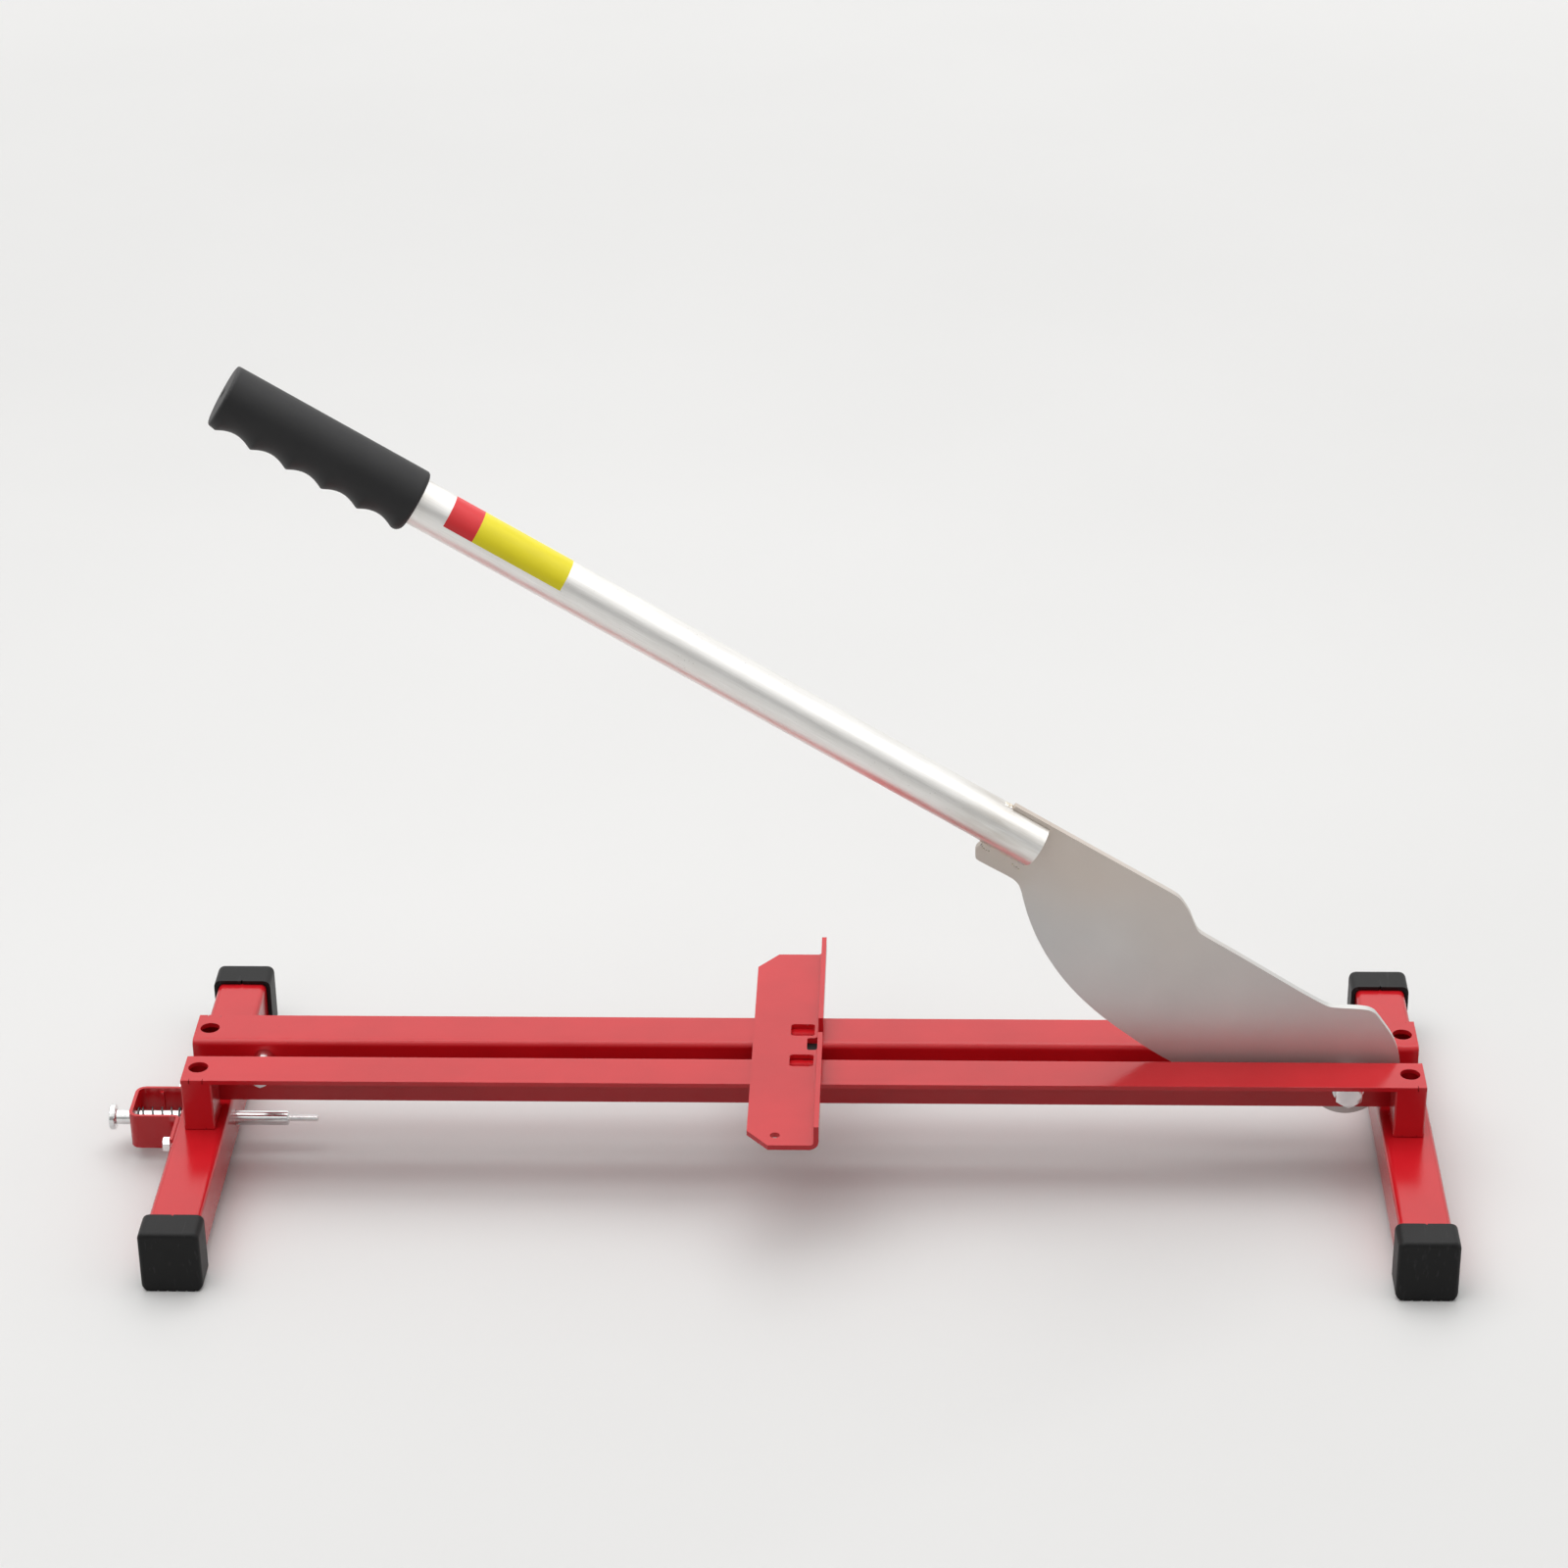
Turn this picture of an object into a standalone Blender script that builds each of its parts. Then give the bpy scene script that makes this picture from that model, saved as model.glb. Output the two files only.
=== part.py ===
"""Laminate cutter: a red steel bench frame with a lever-operated shear blade.

The frame lies along X and stands on two square cross feet. Two angle rails with a
narrow slot between them carry the board, a bent fence squares it up, and a plate
blade on a long tube handle swings down through the slot. A spring-loaded pull pin
sits in a bent strap on the left foot. Lengths are in metres, +Z is up.
"""
import math

import bmesh
import bpy
from mathutils import Vector

# Clearances and drawing detail
seat_gap = 0.0003
running_gap = 0.0003
cut_overrun = 0.002
round_sides = 32
small_sides = 20
corner_steps = 4

# Cross feet: square tube along Y
foot_tube_width = 0.0254
foot_tube_wall = 0.0018
foot_tube_corner = 0.0030
foot_inset = 0.0074
foot_length = 0.2568

# Plastic shoes on the tube ends
shoe_wall = 0.0020
shoe_sole = 0.0046
shoe_depth = 0.0175
shoe_end_wall = 0.0030
shoe_corner = 0.0036
shoe_end_round = 0.0022
shoe_notch_width = 0.0030
shoe_notch_depth = 0.0012

# Rails: equal angles, open side away from the slot
rail_length = 0.6160
rail_leg = 0.0254
rail_thickness = 0.0025
rail_outer_round = 0.0030
rail_inner_round = 0.0006
slot_width = 0.0125
rail_end_hole_radius = 0.0049
rail_end_hole_inset = 0.0071

# Risers: short upright tubes between foot and rail
riser_width = 0.0154
riser_depth = 0.0200
riser_height = 0.0257
riser_wall = 0.0020
riser_corner = 0.0010

# Fence: bent plate across the rails
fence_length = 0.1830
fence_thickness = 0.0024
fence_flange_height = 0.0104
fence_bend_round = 0.0020
fence_width = 0.0352
fence_flange_face_x = 0.0104
fence_chamfer_x = 0.0105
fence_chamfer_y = 0.0130
fence_slot_width = 0.0134
fence_slot_length = 0.0120
fence_slot_offset = 0.0146
fence_slot_corner = 0.0020
fence_notch_width = 0.0115
fence_notch_depth = 0.0080
fence_notch_corner = 0.0014
fence_hole_radius = 0.0024
fence_hole_inset_x = 0.0138
fence_hole_inset_y = 0.0090

# Rubber stop pressed between the rails under the fence's notch
bumper_length = 0.0096
bumper_height = 0.0080
bumper_drop = 0.0006
bumper_corner = 0.0015

# Lever: pivot, blade plate, tube and grip
pivot_inset = 0.0360
pivot_drop = 0.0145
lever_angle = math.radians(31.82)
handle_axis_rise = 0.0297
handle_tube_radius = 0.0114
handle_tube_wall = 0.0015
handle_tube_start = 0.2030
handle_tube_length = 0.4433
blade_thickness = 0.0040
blade_insertion = 0.0249
blade_rise = 0.0445
blade_edge_land = 0.0006
blade_grind_width = 0.0075
blade_lobe_radius = 0.0190
blade_lobe_start = 22.0
blade_lobe_end = -112.0
grip_length = 0.1020
grip_end_wall = 0.0028
grip_top_radius = 0.0148
grip_cusp_radius = 0.0166
grip_scallop_depth = 0.0028
grip_scallop_pitch = 0.0187
grip_first_scallop = 0.0209
grip_lip_length = 0.0020
grip_end_land = 0.0042
grip_land_drop = 0.00045
grip_end_round = 0.0012
grip_vent_radius = 0.0015

# Pivot and tie hardware
pivot_bolt_radius = 0.0040
pivot_head_flats = 0.0130
pivot_head_height = 0.0053
pivot_nut_height = 0.0065
pivot_washer_radius = 0.0080
pivot_washer_thickness = 0.0016
pivot_spacer_radius = 0.0085
pivot_thread_stand = 0.0030
tie_inset = 0.0360
tie_drop = 0.0103
tie_bolt_radius = 0.0030
tie_head_flats = 0.0100
tie_head_height = 0.0040
tie_nut_height = 0.0050
tie_spacer_radius = 0.0055
tie_thread_stand = 0.0020

# Pull pin in its strap on the left foot
strap_thickness = 0.0018
strap_height = 0.0190
strap_reach = 0.0265
strap_width = 0.0286
strap_ear = 0.0215
strap_bend_round = 0.0034
strap_ear_round = 0.0014
strap_rib_width = 0.0020
strap_rib_depth = 0.0014
strap_rib_height_share = 0.55
strap_rib_place_share = 0.425
ear_screw_radius = 0.0020
ear_screw_flats = 0.0070
ear_screw_head = 0.0050
ear_screw_length = 0.0075
pin_radius = 0.00375
pin_head_radius = 0.0065
pin_head_thickness = 0.0032
pin_head_stand = 0.0087
pin_tip_radius = 0.0015
pin_tip_length = 0.0150
pin_body_past_foot = 0.0270
pin_edge_round = 0.0006
clip_radius = 0.0056
clip_thickness = 0.0011
clip_groove_depth = 0.0009
clip_mouth_share = 0.8
spring_wire_radius = 0.0004
spring_coil_radius = 0.0049
spring_open_turns = 4
spring_end_pitch = 0.0013
spring_points_per_turn = 10

# Derived levels
foot_spacing = rail_length - 2 * foot_inset
pivot_x = rail_length / 2 - pivot_inset
tie_x = tie_inset - rail_length / 2
foot_tube_bottom = shoe_sole + seat_gap
foot_tube_top = foot_tube_bottom + foot_tube_width
foot_axis_z = foot_tube_bottom + foot_tube_width / 2
riser_bottom = foot_tube_top + seat_gap
rail_under_z = riser_bottom + riser_height + seat_gap
rail_top_z = rail_under_z + rail_thickness
slot_half = slot_width / 2
rail_outer_y = slot_half + rail_leg
fence_bottom = rail_top_z + seat_gap
pivot_z = rail_top_z - pivot_drop
tie_z = rail_top_z - tie_drop
foot_half = foot_length / 2
tube_half_length = foot_half - shoe_end_wall - seat_gap
left_foot_x = -foot_spacing / 2
right_foot_x = foot_spacing / 2
foot_left_face = left_foot_x - foot_tube_width / 2
strap_outer_x = foot_left_face - seat_gap - strap_reach
pin_left_end = strap_outer_x - pin_head_stand - pin_head_thickness
shoe_half_width = foot_tube_width / 2 + seat_gap + shoe_wall
frame_right_end = right_foot_x + shoe_half_width
origin_shift = -(pin_left_end + frame_right_end) / 2


def paint(name, colour, roughness, metallic):
    """Makes a Principled BSDF material."""
    material = bpy.data.materials.new(name)
    material.use_nodes = True
    shader = material.node_tree.nodes["Principled BSDF"]
    shader.inputs["Base Color"].default_value = (*colour, 1.0)
    shader.inputs["Roughness"].default_value = roughness
    shader.inputs["Metallic"].default_value = metallic
    return material


def add_object(name, mesh, material, parent, location=(0.0, 0.0, 0.0), smooth=False):
    """Links a named object under its parent."""
    item = bpy.data.objects.new(name, mesh)
    bpy.context.scene.collection.objects.link(item)
    item.parent = parent
    item.location = location
    if material is not None:
        mesh.materials.append(material)
    if smooth:
        mesh.shade_smooth()
        mesh.set_sharp_from_angle(angle=math.radians(35.0))
    return item


def add_guide(name, mesh, parent, location=(0.0, 0.0, 0.0)):
    """Links a cutter: drawn as wire and left out of the finished part."""
    item = add_object(name, mesh, None, parent, location)
    item.hide_render = True
    item.display_type = "WIRE"
    return item


def combine(target, other, operation="DIFFERENCE"):
    """Adds an exact Boolean between two objects."""
    modifier = target.modifiers.new(other.name, "BOOLEAN")
    modifier.operation = operation
    modifier.solver = "EXACT"
    modifier.object = other
    return target


def mesh_from_rings(name, rings):
    """Skins equal rings of points, with a flat cap at each end."""
    work = bmesh.new()
    loops = [[work.verts.new(point) for point in ring] for ring in rings]
    count = len(loops[0])
    for first, second in zip(loops, loops[1:]):
        for index in range(count):
            following = (index + 1) % count
            work.faces.new((first[index], first[following], second[following], second[index]))
    work.faces.new(list(reversed(loops[0])))
    work.faces.new(loops[-1])
    bmesh.ops.recalc_face_normals(work, faces=work.faces)
    mesh = bpy.data.meshes.new(name)
    work.to_mesh(mesh)
    work.free()
    return mesh


def lay(plane, u, v, depth):
    """Places an outline point: the plane's two axes, then the depth axis."""
    if plane == "XY":
        return Vector((u, v, depth))
    if plane == "XZ":
        return Vector((u, depth, v))
    return Vector((depth, u, v))


def prism(name, outline, plane, low, high):
    """Extrudes a flat outline between two depths."""
    work = bmesh.new()
    face = work.faces.new([work.verts.new(lay(plane, u, v, low)) for u, v in outline])
    grown = bmesh.ops.extrude_face_region(work, geom=[face])["geom"]
    moved = [item for item in grown if isinstance(item, bmesh.types.BMVert)]
    bmesh.ops.translate(work, verts=moved, vec=lay(plane, 0.0, 0.0, high - low))
    bmesh.ops.recalc_face_normals(work, faces=work.faces)
    mesh = bpy.data.meshes.new(name)
    work.to_mesh(mesh)
    work.free()
    return mesh


def arc(centre_u, centre_v, radius, start, end, steps):
    """Points of an arc, angles in degrees."""
    points = []
    for index in range(steps + 1):
        angle = math.radians(start + (end - start) * index / steps)
        points.append((centre_u + radius * math.cos(angle), centre_v + radius * math.sin(angle)))
    return points


def rounded_box(half_u, half_v, radius, centre_v=0.0, steps=corner_steps):
    """Outline of a rectangle with round corners."""
    u, v = half_u - radius, half_v - radius
    points = arc(u, centre_v + v, radius, 0.0, 90.0, steps)
    points += arc(-u, centre_v + v, radius, 90.0, 180.0, steps)
    points += arc(-u, centre_v - v, radius, 180.0, 270.0, steps)
    points += arc(u, centre_v - v, radius, 270.0, 360.0, steps)
    return points


def rod(name, stations, axis, sides):
    """Turned form: stations are (distance along the axis, radius)."""
    rings = []
    for distance, radius in stations:
        ring = []
        for index in range(sides):
            angle = math.tau * (index + 0.5) / sides
            a, b = radius * math.cos(angle), radius * math.sin(angle)
            if axis == "X":
                ring.append(Vector((distance, a, b)))
            elif axis == "Y":
                ring.append(Vector((a, distance, b)))
            else:
                ring.append(Vector((a, b, distance)))
        rings.append(ring)
    return mesh_from_rings(name, rings)


def hexagon(flats):
    """Outline of a hexagon with a corner pointing up."""
    radius = flats / math.sqrt(3.0)
    return [(radius * math.sin(math.tau * k / 6), radius * math.cos(math.tau * k / 6)) for k in range(6)]


def strap_outline(path, thickness, bends):
    """Outline of a strip bent along a path: bends are the inner radii at its corners."""
    near, far = [], []
    last = len(path) - 1
    for index, point in enumerate(path):
        here = Vector(point)
        before = (here - Vector(path[index - 1])).normalized() if index else None
        after = (Vector(path[index + 1]) - here).normalized() if index < last else None
        if before is None or after is None:
            way = before or after
            side = Vector((-way.y, way.x))
            near.append(here + side * thickness / 2)
            far.append(here - side * thickness / 2)
            continue
        bend = bends[index - 1]
        turn = before.x * after.y - before.y * after.x
        sense = 1.0 if turn > 0 else -1.0
        middle = bend + thickness / 2
        reach = middle * math.tan(abs(math.asin(max(-1.0, min(1.0, turn)))) / 2)
        centre = here - before * reach + Vector((-before.y, before.x)) * middle * sense
        sweep = math.asin(max(-1.0, min(1.0, abs(turn)))) * sense
        start_way = (here - before * reach) - centre
        start = math.atan2(start_way.y, start_way.x)
        for step in range(corner_steps + 1):
            angle = start + sweep * step / corner_steps
            way = Vector((math.cos(angle), math.sin(angle)))
            inner = centre + way * bend
            outer = centre + way * (bend + thickness)
            near.append(inner if sense > 0 else outer)
            far.append(outer if sense > 0 else inner)
    return [tuple(p) for p in near] + [tuple(p) for p in reversed(far)]


for old in list(bpy.data.objects):
    bpy.data.objects.remove(old, do_unlink=True)

red_paint = paint("red_paint", (0.52, 0.012, 0.020), 0.32, 0.0)
black_plastic = paint("black_plastic", (0.016, 0.016, 0.015), 0.5, 0.0)
black_rubber = paint("black_rubber", (0.020, 0.020, 0.020), 0.6, 0.0)
blade_steel = paint("blade_steel", (0.42, 0.40, 0.37), 0.35, 1.0)
handle_metal = paint("handle_metal", (0.62, 0.61, 0.59), 0.3, 1.0)
zinc = paint("zinc", (0.66, 0.66, 0.64), 0.28, 1.0)
spring_steel = paint("spring_steel", (0.10, 0.10, 0.10), 0.35, 1.0)

base = bpy.data.objects.new("base_frame", None)
bpy.context.scene.collection.objects.link(base)
base.location = (origin_shift, 0.0, 0.0)

# Cross feet
foot_half_width = foot_tube_width / 2
bore_half = foot_half_width - foot_tube_wall
bore_corner = foot_tube_corner - foot_tube_wall
foot_outline = rounded_box(foot_half_width, foot_half_width, foot_tube_corner)
bore_outline = rounded_box(bore_half, bore_half, bore_corner)
feet = {}
for side, foot_x in (("left", left_foot_x), ("right", right_foot_x)):
    mesh = prism(side + "_foot_tube", foot_outline, "XZ", -tube_half_length, tube_half_length)
    foot = add_object(side + "_foot_tube", mesh, red_paint, base, (foot_x, 0.0, foot_axis_z))
    bore_end = tube_half_length + cut_overrun
    bore = add_guide(side + "_foot_bore", prism("bore", bore_outline, "XZ", -bore_end, bore_end), foot)
    feet[side] = combine(foot, bore)

# Plastic shoes: a sleeve with a thick sole and a rounded closed end
shoe_height = shoe_sole + seat_gap + foot_tube_width + seat_gap + shoe_wall
shoe_pocket_half = foot_half_width + seat_gap
shoe_pocket_low = shoe_sole
shoe_pocket_high = shoe_sole + 2 * shoe_pocket_half
for side, foot_x in (("left", left_foot_x), ("right", right_foot_x)):
    for end, sign in (("front", -1.0), ("back", 1.0)):
        name = side + "_" + end + "_shoe"
        steps = [(0.0, 0.0), (shoe_depth - shoe_end_round, 0.0)]
        for index in range(1, corner_steps):
            angle = math.radians(90.0 * index / (corner_steps - 1))
            drop = shoe_end_round * (1.0 - math.cos(angle))
            steps.append((shoe_depth - shoe_end_round + shoe_end_round * math.sin(angle), drop))
        rings = []
        for depth, inset in steps:
            # The sole stays flat: the rounding draws in the sides, the top and the end only
            half = shoe_half_width - inset
            high = shoe_height - inset
            outline = rounded_box(half, high / 2, shoe_corner - inset, high / 2)
            rings.append([lay("XZ", u, v, sign * depth) for u, v in outline])
        shoe_y = sign * (foot_half - shoe_depth)
        shoe = add_object(name, mesh_from_rings(name, rings), black_plastic, base, (foot_x, shoe_y, 0.0))
        pocket_middle = (shoe_pocket_low + shoe_pocket_high) / 2
        pocket = rounded_box(shoe_pocket_half, shoe_pocket_half, foot_tube_corner, pocket_middle)
        pocket_end = sign * (shoe_depth - shoe_end_wall)
        pocket_start = -sign * cut_overrun
        low, high = sorted((pocket_start, pocket_end))
        combine(shoe, add_guide(name + "_pocket", prism("pocket", pocket, "XZ", low, high), shoe))
        notch_half = shoe_notch_width / 2
        notch_tip = sign * shoe_notch_depth
        notch = [(-notch_half, pocket_start), (notch_half, pocket_start), (0.0, notch_tip)]
        notch_high = shoe_height + cut_overrun
        cutter = add_guide(name + "_notch", prism("notch", notch, "XY", pocket_middle, notch_high), shoe)
        combine(shoe, cutter)

# Rails: the profile is drawn for the front rail, with its upright leg at the slot
for name, sign in (("front_rail", -1.0), ("back_rail", 1.0)):
    reach = rail_outer_y
    outer = rail_outer_round
    inner = rail_inner_round
    under = -rail_thickness
    inside = slot_half + rail_thickness
    profile = [(reach, 0.0), (reach, under)]
    profile += arc(inside + inner, under - inner, inner, 90.0, 180.0, corner_steps)
    profile += [(inside, -rail_leg), (slot_half, -rail_leg)]
    profile += arc(slot_half + outer, -outer, outer, 180.0, 90.0, corner_steps)
    profile = [(sign * u, v) for u, v in profile]
    mesh = prism(name, profile, "YZ", -rail_length / 2, rail_length / 2)
    rail = add_object(name, mesh, red_paint, base, (0.0, 0.0, rail_top_z))
    hole_y = sign * (slot_half + rail_leg / 2)
    hole_x = rail_length / 2 - rail_end_hole_inset
    hole_stations = [(-rail_thickness - cut_overrun, rail_end_hole_radius), (cut_overrun, rail_end_hole_radius)]
    for end, x in (("left", -hole_x), ("right", hole_x)):
        mesh = rod("hole", hole_stations, "Z", small_sides)
        combine(rail, add_guide(name + "_" + end + "_hole", mesh, rail, (x, hole_y, 0.0)))
    for label, x, drop, radius in (
        ("tie", tie_x, tie_drop, tie_bolt_radius),
        ("pivot", pivot_x, pivot_drop, pivot_bolt_radius),
    ):
        near = sign * (slot_half - cut_overrun)
        far = sign * (inside + cut_overrun)
        low, high = sorted((near, far))
        bore = radius + running_gap
        mesh = rod("bore", [(low, bore), (high, bore)], "Y", small_sides)
        combine(rail, add_guide(name + "_" + label + "_bore", mesh, rail, (x, 0.0, -drop)))

# Risers: welded upright under the rail ends, flush with the rail's free edge
riser_outline = rounded_box(riser_width / 2, riser_depth / 2, riser_corner)
riser_bore = rounded_box(riser_width / 2 - riser_wall, riser_depth / 2 - riser_wall, riser_corner)
for side, sign_x in (("left", -1.0), ("right", 1.0)):
    for end, sign_y in (("front", -1.0), ("back", 1.0)):
        name = side + "_" + end + "_riser"
        x = sign_x * (rail_length / 2 - riser_width / 2)
        y = sign_y * (rail_outer_y - riser_depth / 2)
        mesh = prism(name, riser_outline, "XY", 0.0, riser_height)
        riser = add_object(name, mesh, red_paint, base, (x, y, riser_bottom))
        mesh = prism("bore", riser_bore, "XY", -cut_overrun, riser_height + cut_overrun)
        combine(riser, add_guide(name + "_bore", mesh, riser))

# Fence: plate and upright flange bent from one sheet
fence_left_x = fence_flange_face_x - fence_width
bend = fence_bend_round
thick = fence_thickness
high = thick + fence_flange_height
inner_x = fence_width - thick
fence_profile = [(0.0, thick), (0.0, 0.0)]
fence_profile += arc(fence_width - bend - thick, bend + thick, bend + thick, 270.0, 360.0, corner_steps)
fence_profile += [(fence_width, high), (inner_x, high)]
fence_profile += arc(inner_x - bend, thick + bend, bend, 360.0, 270.0, corner_steps)
mesh = prism("fence_plate", fence_profile, "XZ", -fence_length / 2, fence_length / 2)
fence = add_object("fence_plate", mesh, red_paint, base, (fence_left_x, 0.0, fence_bottom))
cut_low, cut_high = -cut_overrun, thick + cut_overrun
for end, sign in (("front", -1.0), ("back", 1.0)):
    edge = fence_length / 2
    corner = [
        (-cut_overrun, sign * (edge - fence_chamfer_y - fence_chamfer_y * cut_overrun / fence_chamfer_x)),
        (fence_chamfer_x + fence_chamfer_x * cut_overrun / fence_chamfer_y, sign * (edge + cut_overrun)),
        (-cut_overrun, sign * (edge + cut_overrun)),
    ]
    combine(fence, add_guide("fence_" + end + "_chamfer", prism("chamfer", corner, "XY", cut_low, cut_high), fence))
    slot = rounded_box(fence_slot_length / 2, fence_slot_width / 2, fence_slot_corner)
    slot_x = inner_x - bend - fence_slot_length / 2
    mesh = prism("slot", slot, "XY", cut_low, cut_high)
    combine(fence, add_guide("fence_" + end + "_slot", mesh, fence, (slot_x, sign * fence_slot_offset, 0.0)))
notch_half = fence_notch_width / 2
notch_left = fence_width - fence_notch_depth + fence_notch_corner
notch_side = notch_half - fence_notch_corner
notch = arc(notch_left, notch_side, fence_notch_corner, 90.0, 180.0, corner_steps)
notch += arc(notch_left, -notch_side, fence_notch_corner, 180.0, 270.0, corner_steps)
notch += [(fence_width + cut_overrun, -notch_half), (fence_width + cut_overrun, notch_half)]
mesh = prism("notch", notch, "XY", cut_low, high + cut_overrun)
combine(fence, add_guide("fence_notch", mesh, fence))
mesh = rod("hole", [(cut_low, fence_hole_radius), (cut_high, fence_hole_radius)], "Z", small_sides)
hole_place = (fence_hole_inset_x, fence_hole_inset_y - fence_length / 2, 0.0)
combine(fence, add_guide("fence_hole", mesh, fence, hole_place))

# Stop: a rubber block between the rails' upright legs, seen through the fence's notch
bumper_half = slot_half - seat_gap
bumper_outline = rounded_box(bumper_length / 2, bumper_half, bumper_corner)
mesh = prism("slot_bumper", bumper_outline, "XY", -bumper_height, 0.0)
bumper_place = (fence_flange_face_x - bumper_length / 2, 0.0, rail_top_z - bumper_drop)
add_object("slot_bumper", mesh, black_rubber, base, bumper_place)

# Lever: an empty on the pivot axis, tilted to the handle's angle
lever = bpy.data.objects.new("lever_axis", None)
bpy.context.scene.collection.objects.link(lever)
lever.parent = base
lever.location = (pivot_x, 0.0, pivot_z)
lever.rotation_euler = (0.0, lever_angle, 0.0)

# Blade plate outline from the handle's end of the upper edge round the rear lobe and
# back along the belly: shares of the plate's reach from the pivot and of its rise
# above the lever's line.
blade_reach = handle_tube_start + blade_insertion
upper_edge_shares = [
    (-0.981, 0.967), (-0.570, 0.967), (-0.555, 0.944), (-0.540, 0.906), (-0.523, 0.858),
    (-0.507, 0.793), (-0.496, 0.755), (-0.487, 0.722), (-0.475, 0.706), (-0.388, 0.701),
    (-0.206, 0.678), (-0.151, 0.681), (-0.135, 0.694), (-0.068, 0.883), (-0.052, 0.894),
    (-0.043, 0.890), (0.026, 0.735), (0.068, 0.546), (0.086, 0.380),
]
belly_shares = [
    (-0.075, -0.560), (-0.125, -0.660), (-0.200, -0.762), (-0.285, -0.832), (-0.370, -0.862),
    (-0.450, -0.842), (-0.515, -0.782), (-0.550, -0.757), (-0.574, -0.726), (-0.619, -0.658),
    (-0.659, -0.604), (-0.710, -0.476),
]
nose_shares = [
    (-0.748, -0.360), (-0.780, -0.243), (-0.817, -0.108), (-0.842, 0.007), (-0.869, 0.144),
    (-0.882, 0.184), (-0.898, 0.195), (-0.982, 0.182), (-0.988, 0.200), (-1.000, 0.299),
    (-0.993, 0.389),
]
lobe = arc(0.0, 0.0, blade_lobe_radius, blade_lobe_start, blade_lobe_end, 2 * corner_steps)
upper = [(u * blade_reach, v * blade_rise) for u, v in upper_edge_shares]
belly = [(u * blade_reach, v * blade_rise) for u, v in belly_shares]
nose = [(u * blade_reach, v * blade_rise) for u, v in nose_shares]
edge_outline = upper + lobe + belly + nose
first_ground = len(upper) + len(lobe)
face_outline = list(edge_outline)
for index in range(first_ground, first_ground + len(belly)):
    before = Vector(edge_outline[index - 1])
    after = Vector(edge_outline[(index + 1) % len(edge_outline)])
    way = (after - before).normalized()
    # Only the inner points of the belly are drawn in, so the grind fades at its ends
    fade = math.sin(math.pi * (index - first_ground + 0.5) / len(belly)) ** 0.35
    inward = Vector((way.y, -way.x)) * blade_grind_width * fade
    point = Vector(edge_outline[index]) + inward
    face_outline[index] = (point.x, point.y)
half = blade_thickness / 2
# The front face is flat and the whole grind is on the back
blade_rings = [
    [lay("XZ", u, v, -half) for u, v in edge_outline],
    [lay("XZ", u, v, blade_edge_land - half) for u, v in edge_outline],
    [lay("XZ", u, v, half) for u, v in face_outline],
]
blade = add_object("cutter_blade", mesh_from_rings("cutter_blade", blade_rings), blade_steel, lever)
bore = pivot_bolt_radius + running_gap
mesh = rod("bore", [(-half - cut_overrun, bore), (half + cut_overrun, bore)], "Y", round_sides)
combine(blade, add_guide("blade_pivot_bore", mesh, blade))

# Handle tube: its square end is slit over the plate
tube_stations = [(-handle_tube_length, handle_tube_radius), (0.0, handle_tube_radius)]
tube_place = (-handle_tube_start, 0.0, handle_axis_rise)
mesh = rod("handle_tube", tube_stations, "X", round_sides)
tube = add_object("handle_tube", mesh, handle_metal, lever, tube_place, smooth=True)
bore = handle_tube_radius - handle_tube_wall
mesh = rod("bore", [(-handle_tube_length - cut_overrun, bore), (cut_overrun, bore)], "X", round_sides)
combine(tube, add_guide("handle_tube_bore", mesh, tube))
slit_half = half + seat_gap
slit_end = -blade_insertion - seat_gap
slit_side = handle_tube_radius + cut_overrun
slit = [(slit_end, -slit_half), (cut_overrun, -slit_half), (cut_overrun, slit_half), (slit_end, slit_half)]
combine(tube, add_guide("handle_tube_slit", prism("slit", slit, "XY", -slit_side, slit_side), tube))

# Grip: smooth on top, finger scallops below, closed end with a small vent
grip_start = handle_tube_length + seat_gap + grip_end_wall - grip_length
grip_sides = 28
stations = []
position = 0.0
fine = 6
scallop_room = grip_length - grip_lip_length - grip_first_scallop - grip_end_land
scallop_lengths = [grip_first_scallop] + [grip_scallop_pitch] * int(scallop_room / grip_scallop_pitch)
for index in range(3):
    part = index / 2
    stations.append((grip_lip_length * part * 0.5, grip_cusp_radius - grip_scallop_depth * (1.0 - part)))
cusp = grip_lip_length
for scallop_length in scallop_lengths:
    for index in range(fine):
        part = index / fine
        dip = grip_scallop_depth * math.sin(math.pi * part) ** 0.8
        stations.append((cusp + part * scallop_length, grip_cusp_radius - dip))
    cusp += scallop_length
stations.append((cusp, grip_cusp_radius))
# The last cusp runs out into a plain land before the rounded end
end_radius = grip_cusp_radius - grip_land_drop
land_end = grip_length - grip_end_round
for part in (1 / 3, 1.0):
    stations.append((cusp + (land_end - cusp) * part, end_radius))
for index in range(1, corner_steps + 1):
    angle = math.radians(90.0 * index / corner_steps)
    drop = grip_end_round * (1.0 - math.cos(angle))
    stations.append((grip_length - grip_end_round + grip_end_round * math.sin(angle), end_radius - drop))
grip_rings = []
for distance, low_radius in stations:
    end_drop = max(0.0, distance - (grip_length - grip_end_round)) / grip_end_round
    top_radius = grip_top_radius - grip_end_round * (1.0 - math.sqrt(max(0.0, 1.0 - end_drop ** 2)))
    ring = []
    for index in range(grip_sides):
        angle = math.tau * index / grip_sides
        below = max(0.0, -math.cos(angle))
        share = below * below * (3.0 - 2.0 * below)
        radius = top_radius + (low_radius - top_radius) * share
        ring.append(Vector((-distance, radius * math.sin(angle), radius * math.cos(angle))))
    grip_rings.append(ring)
grip_place = (-handle_tube_start - grip_start, 0.0, handle_axis_rise)
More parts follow.
